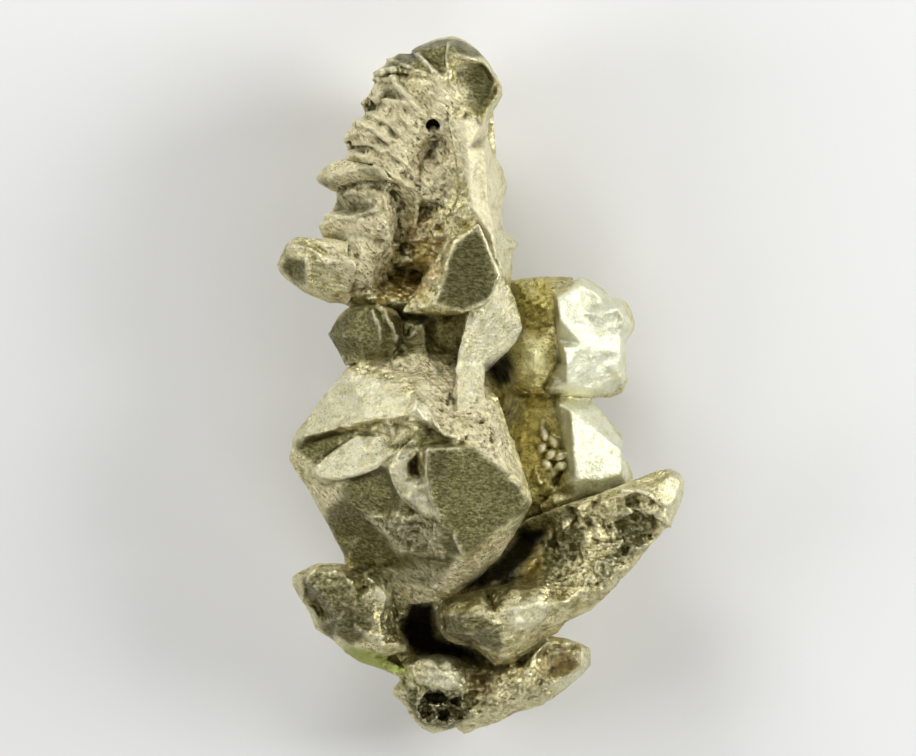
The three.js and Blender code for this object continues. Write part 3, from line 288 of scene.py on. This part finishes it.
def marked(*outlines, soft=0.15, waver=0.12):
    """Where any of the outlines lies on the upper side, with a slightly wavering edge."""
    shifted = places + waver * np.stack([lumps(places, 0.5, salt) for salt in (21, 22, 23)], axis=1)
    cover = np.max([within(shifted, outline, soft) for outline in outlines], axis=0)
    return cover * np.clip(normals[:, 2] * 4 + 1.2, 0, 1)


# Small white crystals on the stem: their places and the way each one points.
GRAINS = [
    (2.28, -1.75, 110), (2.18, -2.22, 60), (2.6, -2.0, 125), (2.5, -2.45, 40), (2.85, -2.5, 30),
    (2.35, -2.8, 140), (2.85, -2.85, 20), (2.2, -1.4, 80), (2.55, -3.1, 35),
]


def grain_outline(x, y, turn, length=0.21, width=0.11):
    """An eight-cornered oval round a place, turned by degrees."""
    along = np.array([math.cos(math.radians(turn)), math.sin(math.radians(turn))])
    across = np.array([-along[1], along[0]])
    steps = np.radians(np.arange(0, 360, 45))
    corners = [length * math.cos(a) * along + width * math.sin(a) * across for a in steps]
    return [[x + corner[0], y + corner[1]] for corner in corners]


grains = marked(*(grain_outline(*grain) for grain in GRAINS), soft=0.08, waver=0.02)
GRAIN_HEIGHT = 0.1
places += normals * (GRAIN_HEIGHT * grains)[:, None]
move_to(mesh, np.clip(places, lowest, highest))
mark("hollow", np.clip(fine_hollow, -1, 1) * 0.35 + np.clip(wide_hollow, -1, 1) * 0.65)
# Sharp crests, which get a painted highlight.
mark("edge", -fine_hollow - 0.15)
# Pale clean metal, and partly a painted highlight: the faces that catch the lamps are painted
# paler.
mark(
    "polish_and_highlight",
    grains
    + marked(
        # the upper left face of the main crystal and the knob beside it
        [[-4.8, 0.6], [-2.9, 0.1], [-2.5, -0.5], [-2.7, -0.95], [-4.0, -1.15], [-5.2, -1.5],
         [-6.5, -1.8], [-5.9, -0.8], [-5.3, 0.1]],
        [[-2.5, -0.6], [-2.1, 0.1], [-1.75, -0.3], [-1.7, -1.2], [-2.1, -1.25], [-2.5, -0.95]],
        # the bright band of the neck, down to its foot
        [[0.7, 3.9], [1.2, 2.8], [1.5, 2.1], [1.1, 1.4], [0.2, 0.5], [0.15, -0.8], [-0.8, -0.9],
         [-1.0, 0.4], [-0.8, 1.3], [-0.45, 2.4], [0.3, 3.1]],
        # the tongue and the crescent
        [[-5.85, -2.95], [-5.5, -2.6], [-5.0, -2.2], [-4.4, -1.75], [-3.6, -1.75], [-3.1, -2.4],
         [-3.6, -2.85], [-4.4, -3.2], [-5.1, -3.3], [-5.7, -3.25]],
        [[-2.55, -1.95], [-3.2, -2.85], [-2.85, -3.8], [-2.3, -4.3], [-1.7, -4.65], [-1.6, -4.5],
         [-1.85, -4.0], [-1.95, -3.3], [-2.3, -3.2], [-2.6, -2.9], [-2.4, -2.3]],
        # the right side of the column and its spine
        [[-0.9, 9.5], [0.2, 9.4], [0.6, 7.9], [0.9, 7.1], [0.7, 5.8], [1.3, 5.1], [1.0, 3.9],
         [0.6, 4.2], [0.1, 5.4], [-0.5, 6.4], [-0.7, 7.6]],
        [[-5.3, 5.7], [-4.4, 5.8], [-4.0, 5.3], [-4.4, 5.0], [-5.0, 5.2]],
        # the right column and the tip of the arm
        [[2.6, 3.2], [3.6, 3.9], [5.0, 3.2], [5.5, 2.2], [5.2, 1.0], [5.3, 0.0], [4.0, -0.5],
         [2.3, -0.2], [2.8, 0.8]],
        [[2.7, -0.5], [4.0, -0.5], [5.1, -1.9], [5.4, -3.4], [3.2, -4.2], [3.0, -2.4]],
        [[6.5, -3.3], [7.2, -3.1], [7.2, -4.2], [6.7, -4.9], [6.4, -4.1]],
        # the patch on the arm and the ring of the lower left crystal
        [[0.9, -7.7], [2.2, -7.5], [2.4, -8.3], [1.4, -8.7], [0.9, -8.4]],
        [[-3.9, -7.0], [-3.3, -7.2], [-3.2, -7.8], [-3.5, -7.6], [-3.9, -7.4]],
        # the white crystals at the foot
        [[-2.0, -9.7], [-1.0, -9.7], [-0.6, -10.6], [-1.3, -10.9], [-2.0, -10.6]],
        [[3.5, -9.2], [3.95, -9.5], [3.9, -10.1], [2.8, -11.0], [2.6, -10.7], [3.4, -10.1]],
        soft=0.25,
    ),
)
# Dark olive tarnish on the flat faces, and painted shade in the hollows between plates, under
# overhangs, under the blade tip and in the arch of the neck.
mark(
    "tarnish_and_shade",
    marked(
        # the triangular face over the neck
        [[-0.1, 5.7], [0.65, 3.95], [0.25, 3.05], [-0.65, 2.65], [-1.55, 2.95], [-1.25, 4.0],
         [-0.9, 5.05]],
        # the dark crystal and the arch of the neck
        [[-5.5, 1.85], [-5.05, 2.5], [-4.7, 2.75], [-3.9, 2.85], [-2.85, 2.6], [-2.75, 1.8],
         [-3.2, 0.95], [-4.1, 0.9], [-4.85, 0.7]],
        [[-2.8, 2.45], [-1.9, 2.6], [-1.5, 2.3], [-1.8, 1.2], [-2.8, 1.0]],
        # the end of the blunt spur
        [[-7.1, 4.25], [-6.95, 4.6], [-6.25, 4.5], [-6.2, 3.65], [-6.7, 3.8]],
        # the flat plate, the faces under it and the top step of the hopper
        [[-2.0, -2.25], [-0.9, -2.15], [-0.3, -2.1], [0.4, -2.6], [1.0, -3.25], [1.75, -4.1],
         [1.2, -4.75], [0.2, -5.4], [-0.5, -6.0], [-1.0, -5.4], [-1.5, -4.75], [-1.9, -4.0],
         [-2.0, -3.0]],
        [[-5.6, -4.5], [-4.9, -3.95], [-3.0, -3.8], [-2.4, -4.4], [-3.3, -4.5], [-4.0, -4.6],
         [-3.3, -5.6], [-2.8, -5.95], [-0.9, -6.1], [-1.2, -6.7], [-1.7, -7.2], [-3.2, -7.0],
         [-4.9, -6.1]],
        [[-4.6, -3.2], [-4.1, -3.05], [-3.3, -2.95], [-2.9, -3.8], [-2.3, -4.35], [-1.8, -4.75],
         [-2.6, -4.6], [-3.3, -4.4], [-4.3, -4.35], [-5.0, -4.0], [-5.0, -3.6]],
        [[-3.8, -4.6], [-1.6, -4.9], [-1.4, -5.6], [-2.2, -6.0], [-3.0, -5.7]],
        [[-1.75, -4.65], [-1.2, -4.6], [-0.6, -5.9], [-0.95, -6.1], [-1.3, -5.8], [-1.45, -5.3]],
        [[-6.6, -2.2], [-6.35, -1.9], [-5.2, -1.6], [-5.0, -1.7], [-5.0, -2.2], [-5.8, -2.5],
         [-6.4, -2.6]],
        [[-3.4, -2.1], [-2.4, -1.6], [-1.7, -1.6], [-0.6, -2.05], [-2.0, -2.15], [-2.6, -2.3]],
        # the upper side of the arm, where it leaves the main crystal
        [[1.0, -5.2], [1.6, -4.75], [3.0, -4.2], [3.5, -4.3], [2.9, -5.0], [2.0, -5.5]],
        # the end of the arm and the crystals at the foot
        [[-1.5, -8.2], [-0.6, -8.1], [0.6, -8.4], [0.8, -9.4], [-0.2, -9.3], [-1.3, -8.9]],
        [[-6.5, -7.0], [-5.8, -6.6], [-4.8, -6.7], [-4.2, -7.3], [-4.0, -7.9], [-3.6, -8.4],
         [-4.3, -9.0], [-4.6, -9.3], [-5.5, -8.9], [-6.1, -8.0]],
        [[-2.7, -10.7], [-2.2, -11.0], [-0.9, -10.8], [-0.2, -11.1], [-0.3, -11.9],
         [-1.2, -12.3], [-2.2, -12.1], [-2.6, -11.4]],
        # the face in the head and the hollows between the growth plates
        [[-0.7, 11.2], [0.1, 11.35], [0.55, 10.8], [0.35, 10.1], [0.0, 9.9], [-0.4, 10.5]],
        [[-2.3, 12.05], [-1.5, 12.35], [-0.6, 12.3], [0.1, 11.7], [-0.3, 11.6], [-0.9, 11.7],
         [-1.3, 11.6], [-1.9, 11.5], [-2.3, 11.65]],
        [[-1.95, 11.65], [-1.3, 11.8], [-1.25, 11.05], [-1.55, 11.1]],
        [[-3.5, 11.2], [-3.1, 11.8], [-2.4, 12.1], [-1.9, 12.2], [-1.75, 11.0], [-2.3, 11.25],
         [-2.9, 11.3]],
        [[-3.7, 10.8], [-3.1, 10.75], [-2.5, 10.1], [-2.9, 10.25], [-3.6, 10.4]],
        [[-5.1, 6.8], [-3.8, 6.9], [-3.7, 6.1], [-4.6, 6.0], [-5.2, 6.1]],
        [[-4.4, 8.05], [-3.9, 7.85], [-3.25, 7.35], [-3.5, 7.2], [-4.3, 7.7]],
        [[-5.8, 7.4], [-5.0, 7.4], [-5.2, 7.0], [-5.5, 7.05]],
        # the pitted side of the arm
        [[4.9, -4.6], [6.3, -4.4], [6.3, -5.0], [5.2, -6.2], [4.4, -7.0], [4.1, -6.5], [4.8, -5.6]],
        [[2.6, -5.2], [3.9, -4.9], [3.6, -6.2], [2.4, -6.6], [2.2, -5.9]],
        # the hollows of the teeth
        [[-4.15, 10.05], [-3.9, 10.15], [-3.75, 9.95], [-3.95, 9.8]],
        [[-3.76, 7.6], [-3.22, 7.2], [-2.95, 6.8], [-3.2, 6.8], [-3.5, 7.1]],
        # the round hole of the column
        [[-1.9, 9.3], [-1.72, 9.4], [-1.54, 9.3], [-1.54, 9.12], [-1.72, 9.02], [-1.9, 9.12]],
    )
    # thinner over the rest of the face in the head
    + 0.55
    * marked([[-0.9, 11.3], [0.1, 11.4], [0.55, 10.8], [0.3, 10.2], [0.0, 9.6], [-0.7, 10.0]]),
)
# Painted shadow: near black laid on the deep gaps, where the light does not reach.
mark(
    "gap_shadow",
    marked(
        # the gap between the stem and the main crystal
        [[0.15, 0.75], [0.9, 1.25], [1.15, 0.7], [1.05, 0.1], [0.7, -0.1], [0.35, 0.2]],
        # the low ground between the crystals at the foot
        [[-2.55, -7.7], [-1.7, -7.8], [-1.6, -9.0], [-0.4, -9.4], [0.2, -10.1], [-0.6, -9.8],
         [-2.5, -9.6], [-2.9, -8.6]],
        [[-0.9, -7.3], [0.6, -6.2], [1.5, -5.2], [2.3, -5.0], [2.3, -5.5], [1.7, -6.1],
         [1.2, -6.7], [0.8, -7.1]],
        soft=0.3,
    ),
)
mark(
    "gilt",
    marked(
        # the stem and the rounded lump of the right column
        [[1.0, 4.0], [2.8, 3.9], [2.6, 3.2], [2.7, 2.0], [2.85, 0.9], [2.3, 0.0], [2.5, -0.4],
         [2.9, -1.9], [2.9, -3.0], [2.4, -4.0], [1.8, -4.2], [1.3, -2.6], [0.9, -1.5],
         [0.5, -0.5], [0.3, 0.4], [1.5, 2.0]],
        soft=0.3,
    ),
)
mark(
    "crust",
    marked(
        # the left side of the column, round its hollow and up to the head
        [[-3.8, 11.0], [-3.0, 10.9], [-1.5, 10.9], [-0.7, 10.6], [-0.9, 9.6], [-0.9, 7.4],
         [-1.4, 6.4], [-2.5, 6.6], [-3.0, 5.2], [-3.2, 3.4], [-5.0, 3.6], [-5.9, 5.6],
         [-5.6, 7.4], [-5.0, 8.9], [-4.4, 10.1]],
        # the foot of the neck, and the ground behind the knob
        [[-3.8, 0.7], [-2.6, 1.0], [-1.1, 1.1], [-0.8, 0.2], [-0.8, -1.0], [-0.5, -1.9],
         [-1.7, -1.5], [-1.8, -0.3], [-2.6, 0.2]],
        # the rib along the right of the main crystal, down to its corner
        [[0.0, -0.2], [0.5, -0.4], [0.95, -1.4], [1.3, -2.4], [1.8, -4.1], [1.2, -3.4], [0.4, -2.5],
         [-0.5, -1.8], [-0.7, -0.9]],
        # under the crescent, and the left corner of the main crystal
        [[-4.1, -4.5], [-3.6, -4.7], [-3.2, -5.2], [-2.7, -5.75], [-2.2, -6.0], [-2.5, -6.15],
         [-3.1, -5.8], [-3.6, -5.3]],
        [[-3.3, -4.85], [-2.8, -4.75], [-2.5, -5.1], [-2.7, -5.5], [-3.1, -5.3]],
        [[-2.35, -5.1], [-1.9, -4.9], [-1.5, -5.1], [-1.5, -5.4], [-1.8, -5.75], [-2.3, -5.65]],
        [[-6.1, -3.3], [-5.0, -3.4], [-4.7, -4.0], [-5.3, -4.7], [-5.8, -4.4]],
        # the lowest faces of the main crystal
        [[-3.6, -6.6], [-2.0, -6.3], [-0.9, -6.5], [0.2, -5.9], [1.6, -4.6], [1.0, -5.7],
         [-0.8, -7.2], [-2.2, -7.7], [-3.2, -7.4]],
        soft=0.4,
    )
    # thinner on the spine of the column
    + 0.5
    * marked(
        [[-0.9, 9.5], [0.2, 9.4], [0.7, 7.9], [0.9, 6.0], [0.5, 5.0], [-0.3, 6.0], [-0.7, 7.6]]
    ),
)
# Painted highlight: the right column, struck by the light from the right, is painted whiter.
mark(
    "bright",
    marked(
        [[2.6, 3.2], [3.6, 3.9], [5.0, 3.2], [5.5, 2.2], [5.2, 1.0], [5.3, 0.0], [4.0, -0.5],
         [2.3, -0.2], [2.8, 0.8]],
        [[2.7, -0.5], [4.0, -0.5], [5.1, -1.9], [5.4, -3.4], [3.2, -4.2], [3.0, -2.4]],
    ),
)
# Painted highlight: a bright yellow spot on the rounded lump of the stem.
mark("swelling_highlight", marked([[1.2, 1.7], [2.4, 1.8], [2.6, 0.6], [1.8, 0.1], [1.1, 0.6]], soft=0.7))
mark(
    "green",
    marked(
        [[-4.9, -9.3], [-3.9, -9.55], [-3.4, -9.65], [-2.7, -10.0], [-2.75, -10.5], [-3.5, -10.2],
         [-4.4, -10.0], [-5.1, -9.6]],
        soft=0.2,
    ),
)
mark(
    "rust",
    marked(
        [[-2.7, 6.0], [-1.4, 6.1], [-1.3, 5.0], [-1.6, 3.9], [-2.0, 3.2], [-2.9, 3.6],
         [-2.7, 4.6]],
        [[-2.1, 8.9], [-1.5, 8.9], [-1.6, 8.1], [-2.1, 8.0]],
        [[-5.2, 3.0], [-4.5, 3.8], [-4.2, 3.5], [-4.8, 2.75]],
        [[2.1, -10.4], [2.1, -9.4], [3.2, -9.3], [3.3, -10.0], [2.7, -10.5]],
        [[-0.6, -10.0], [0.3, -10.3], [0.3, -11.3], [-0.4, -11.1]],
        soft=0.35,
        waver=0.25,
    ),
)
mark(
    "ochre",
    marked(
        [[-3.8, 3.6], [-1.8, 3.8], [-2.0, 3.1], [-3.7, 3.0]],
        [[-2.6, 5.0], [-1.4, 5.2], [-1.6, 4.0], [-2.4, 4.1]],
        [[1.5, -6.0], [2.1, -5.8], [2.0, -6.6], [1.4, -6.6]],
        soft=0.25,
    ),
)
# The finished surface with fewer triangles. Those of the side it lies on may grow larger.
TRIANGLES = 196000
yielding = crystals.vertex_groups.new(name="yielding")
for low, high, share in ((-1.1, -0.6, 1.0), (-0.6, -0.25, 0.75), (-0.25, 1.1, 0.5)):
    chosen = np.flatnonzero((normals[:, 2] >= low) & (normals[:, 2] < high))
    yielding.add(chosen.tolist(), share, "REPLACE")
mesh = applied(
    crystals,
    "DECIMATE",
    ratio=TRIANGLES / (2 * len(mesh.polygons)),
    vertex_group="yielding",
    vertex_group_factor=0.05,
)
mesh.transform(Matrix.Scale(MM, 4))
mesh.shade_smooth()


def wire(tree, node, **inputs):
    """Joins outputs or sets values to the named inputs of a node."""
    for name, value in inputs.items():
        socket = node.inputs[int(name[1:])] if name[1:].isdigit() else node.inputs[name]
        if isinstance(value, bpy.types.NodeSocket):
            tree.links.new(value, socket)
        else:
            socket.default_value = value
    return node


electrum = bpy.data.materials.new("electrum")
electrum.use_nodes = True
tree = electrum.node_tree
shader = tree.nodes["Principled BSDF"]
here = tree.nodes.new("ShaderNodeTexCoord").outputs["Object"]


def attribute(name):
    """One of the marks stored on the mesh."""
    node = tree.nodes.new("ShaderNodeAttribute")
    node.attribute_name = name
    return node.outputs["Fac"]


def speckle(size, detail=2.0, rough=0.5, where=here):
    """Noise with lumps about `size` metres across."""
    node = tree.nodes.new("ShaderNodeTexNoise")
    wire(tree, node, Vector=where, Scale=1 / size, Detail=detail, Roughness=rough)
    return node.outputs["Fac"]


def ramp(value, low, high):
    """The value stretched so that `low` is 0 and `high` is 1."""
    node = tree.nodes.new("ShaderNodeMapRange")
    wire(tree, node, Value=value, _1=low, _2=high)
    return node.outputs["Result"]


def times(value, other):
    node = tree.nodes.new("ShaderNodeMath")
    node.operation = "MULTIPLY"
    wire(tree, node, _0=value, _1=other)
    return node.outputs[0]


def plus(value, other):
    node = tree.nodes.new("ShaderNodeMath")
    node.operation = "ADD"
    wire(tree, node, _0=value, _1=other)
    return node.outputs[0]


def tinted(under, over, amount):
    """One colour laid over another by the amount."""
    node = tree.nodes.new("ShaderNodeMix")
    node.data_type = "RGBA"
    for socket, value in ((0, amount), (6, under), (7, over)):
        if isinstance(value, bpy.types.NodeSocket):
            tree.links.new(value, node.inputs[socket])
        else:
            node.inputs[socket].default_value = value
    return node.outputs[2]


CREAM = (0.80, 0.74, 0.44, 1)
PALE = (0.80, 0.785, 0.60, 1)
HIGHLIGHT_WHITE = (0.81, 0.82, 0.65, 1)
CRUST = (0.86, 0.785, 0.54, 1)
PIT = (0.17, 0.13, 0.045, 1)
OLIVE = (0.36, 0.32, 0.11, 1)
DARK = (0.085, 0.077, 0.022, 1)
DUSTY = (0.28, 0.26, 0.12, 1)
SHADOW_BLACK = (0.012, 0.009, 0.003, 1)
EDGE_HIGHLIGHT = (0.90, 0.85, 0.60, 1)
GOLD = (0.78, 0.69, 0.26, 1)
HIGHLIGHT_YELLOW = (0.97, 0.90, 0.45, 1)
GREEN = (0.34, 0.38, 0.08, 1)
BROWN = (0.12, 0.08, 0.01, 1)
RUST = (0.36, 0.23, 0.065, 1)
OCHRE = (0.54, 0.42, 0.13, 1)


def facets(size, turn, stretch):
    """A random direction for each ragged facet about `size` metres across, drawn out one way."""
    blurred = tree.nodes.new("ShaderNodeTexNoise")
    wire(tree, blurred, Vector=here, Scale=1 / (2 * size), Detail=3.0)
    moved = tree.nodes.new("ShaderNodeVectorMath")
    moved.operation = "MULTIPLY_ADD"
    wire(tree, moved, _0=blurred.outputs["Color"], _1=(1.2 * size,) * 3, _2=here)
    turned = tree.nodes.new("ShaderNodeMapping")
    wire(tree, turned, Vector=moved.outputs["Vector"], Rotation=(0, 0, math.radians(turn)))
    wire(tree, turned, Scale=(1 / stretch, 1.0, 1.0))
    cells = tree.nodes.new("ShaderNodeTexVoronoi")
    wire(tree, cells, Vector=turned.outputs["Vector"], Scale=1 / size)
    return cells.outputs["Color"]


def tilted(normal, direction, amount):
    """The normal pushed towards a random direction by the amount."""
    centred = tree.nodes.new("ShaderNodeVectorMath")
    centred.operation = "SUBTRACT"
    wire(tree, centred, _0=direction, _1=(0.5, 0.5, 0.5))
    scaled = tree.nodes.new("ShaderNodeVectorMath")
    scaled.operation = "SCALE"
    wire(tree, scaled, _0=centred.outputs["Vector"], Scale=amount)
    summed = tree.nodes.new("ShaderNodeVectorMath")
    summed.operation = "ADD"
    wire(tree, summed, _0=normal, _1=scaled.outputs["Vector"])
    unit = tree.nodes.new("ShaderNodeVectorMath")
    unit.operation = "NORMALIZE"
    wire(tree, unit, _0=summed.outputs["Vector"])
    return unit.outputs["Vector"]


def streaks(size, turn, stretch):
    """Noise about `size` metres across, drawn out along a direction in degrees."""
    along = tree.nodes.new("ShaderNodeMapping")
    along.vector_type = "TEXTURE"
    wire(tree, along, Vector=here, Rotation=(0, 0, math.radians(turn)), Scale=(stretch, 1, 1))
    return speckle(size, 3, 0.6, along.outputs["Vector"])


dashes = streaks(0.085 * MM, -8, 2.0)
fine = speckle(0.08 * MM, 3, 0.7)
cuts = streaks(0.1 * MM, -45, 3.0)
patches = ramp(speckle(0.7 * MM, 5, 0.65), 0.42, 0.58)
plain = plus(1.0, plus(times(attribute("polish_and_highlight"), -0.4), times(attribute("bright"), -0.4)))

colour = tinted(CREAM, OLIVE, ramp(speckle(0.5 * MM, 6, 0.75), 0.45, 0.66))
gold = tinted(GOLD, BROWN, ramp(speckle(0.35 * MM, 5, 0.75), 0.48, 0.8))
# Painted highlight on the rounded lump of the stem.
gold = tinted(gold, HIGHLIGHT_YELLOW, attribute("swelling_highlight"))
colour = tinted(colour, gold, times(attribute("gilt"), 0.92))
# Painted highlight on the right column: its pale colour goes towards white and covers more of it.
pale = tinted(PALE, HIGHLIGHT_WHITE, attribute("bright"))
clean_and_highlight = plus(ramp(speckle(0.3 * MM, 5, 0.7), 0.7, 0.35), times(attribute("bright"), 0.4))
# The pale colour of clean metal, partly a painted highlight on the faces that catch the lamps.
colour = tinted(colour, pale, times(attribute("polish_and_highlight"), clean_and_highlight))
colour = tinted(colour, CRUST, times(attribute("crust"), 0.55))
speckled = times(ramp(fine, 0.52, 0.64), plus(1.0, times(attribute("crust"), -0.75)))
cut = times(ramp(cuts, 0.53, 0.63), attribute("crust"))
pits = times(plus(speckled, cut), plus(0.35, times(patches, 0.65)))
colour = tinted(colour, PIT, times(pits, plain))
# Dark tarnish, and painted shade where the mark covers hollows and overhangs, with lighter dashes;
# weaker on the crust.
tarnish_and_shade = times(attribute("tarnish_and_shade"), plus(0.96, times(attribute("crust"), -0.35)))
colour = tinted(colour, tinted(DARK, DUSTY, ramp(dashes, 0.4, 0.66)), tarnish_and_shade)
colour = tinted(colour, DARK, times(times(ramp(attribute("hollow"), 0.06, 0.42), 0.92), plain))
ochre = times(attribute("ochre"), ramp(speckle(0.4 * MM, 4, 0.6), 0.3, 0.55))
colour = tinted(colour, OCHRE, ochre)
rust = times(attribute("rust"), ramp(speckle(0.45 * MM, 4, 0.6), 0.4, 0.6))
rusty = tinted(RUST, BROWN, ramp(speckle(0.3 * MM, 4, 0.6), 0.48, 0.6))
colour = tinted(colour, rusty, times(rust, 0.9))
colour = tinted(colour, GREEN, times(attribute("green"), 0.9))
# Painted highlight along the sharp crests.
colour = tinted(colour, EDGE_HIGHLIGHT, times(attribute("edge"), 0.65))
# Painted shadow in the deep gaps.
colour = tinted(colour, SHADOW_BLACK, times(attribute("gap_shadow"), 0.95))
wire(tree, shader, **{"Base Color": colour})
satin = plus(times(attribute("polish_and_highlight"), 0.14), times(attribute("crust"), 0.15))
satin = plus(satin, times(attribute("gap_shadow"), 0.5))
wire(tree, shader, Roughness=plus(ramp(speckle(0.2 * MM, 4, 0.6), -0.2, 1.6), satin))
dull = plus(times(rust, 0.6), plus(times(attribute("crust"), 0.25), times(attribute("swelling_highlight"), 0.8)))
wire(tree, shader, Metallic=ramp(dull, 1.0, 0.0))

bump = tree.nodes.new("ShaderNodeBump")
knobs = times(streaks(0.2 * MM, -45, 2.0), attribute("crust"))
grain = plus(plus(fine, times(times(dashes, attribute("tarnish_and_shade")), 0.6)), times(knobs, 5.0))
wire(tree, bump, Height=grain, Strength=1.0, Distance=0.03 * MM)
calm = ramp(plus(attribute("polish_and_highlight"), attribute("tarnish_and_shade")), 1.2, 0.0)
normal = tilted(bump.outputs["Normal"], facets(0.32 * MM, 35, 1.6), times(calm, 0.3))
normal = tilted(normal, facets(0.12 * MM, 60, 1.8), plus(times(calm, 0.5), 0.1))
wire(tree, shader, Normal=normal)

mesh.materials.clear()
mesh.materials.append(electrum)
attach(crystals, "root")
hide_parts("electrum_crystals")

# The studio: a plain pale table, broad soft lamps low at the right, the head and the left, a
# weak one at the foot, and a dim room.

TABLE_SIZE = 0.6
bpy.ops.mesh.primitive_plane_add(size=TABLE_SIZE)
table = bpy.context.object
table.name = "table"
paper = bpy.data.materials.new("pale paper")
paper.use_nodes = True
wire(
    paper.node_tree,
    paper.node_tree.nodes["Principled BSDF"],
    **{"Base Color": (0.82, 0.82, 0.81, 1), "Roughness": 0.8},
)
table.data.materials.append(paper)

MIDDLE = Vector((0, 0, 5 * MM))
LAMPS = [
    # name, direction from the specimen, size, power
    ("right lamp", (1.0, 0.2, 0.6), 0.06, 0.11),
    ("head lamp", (-0.4, 1.0, 0.6), 0.06, 0.08),
    ("left lamp", (-1.0, -0.1, 0.65), 0.06, 0.052),
    ("foot lamp", (0.2, -1.0, 0.7), 0.06, 0.042),
]
LAMP_DISTANCE = 0.12
for name, direction, size, power in LAMPS:
    light = bpy.data.lights.new(name, "AREA")
    light.size = size
    light.energy = power
    lamp = bpy.data.objects.new(name, light)
    lamp.location = MIDDLE + Vector(direction).normalized() * LAMP_DISTANCE
    lamp.rotation_euler = (MIDDLE - lamp.location).to_track_quat("-Z", "Y").to_euler()
    bpy.context.scene.collection.objects.link(lamp)

world = bpy.data.worlds.new("dim room")
world.use_nodes = True
wire(world.node_tree, world.node_tree.nodes["Background"], Color=(0.078, 0.077, 0.072, 1))
bpy.context.scene.world = world

VIEW_WIDTH = 32.71 * MM
LENS = 500.0
camera = bpy.data.objects.new("camera", bpy.data.cameras.new("camera"))
camera.data.lens = LENS
camera.data.clip_start = 0.01
distance = VIEW_WIDTH * LENS / camera.data.sensor_width
camera.location = (-0.82 * MM, 0.29 * MM, MIDDLE.z + distance)
bpy.context.scene.collection.objects.link(camera)
bpy.context.scene.camera = camera
bpy.context.scene.view_settings.view_transform = "Standard"
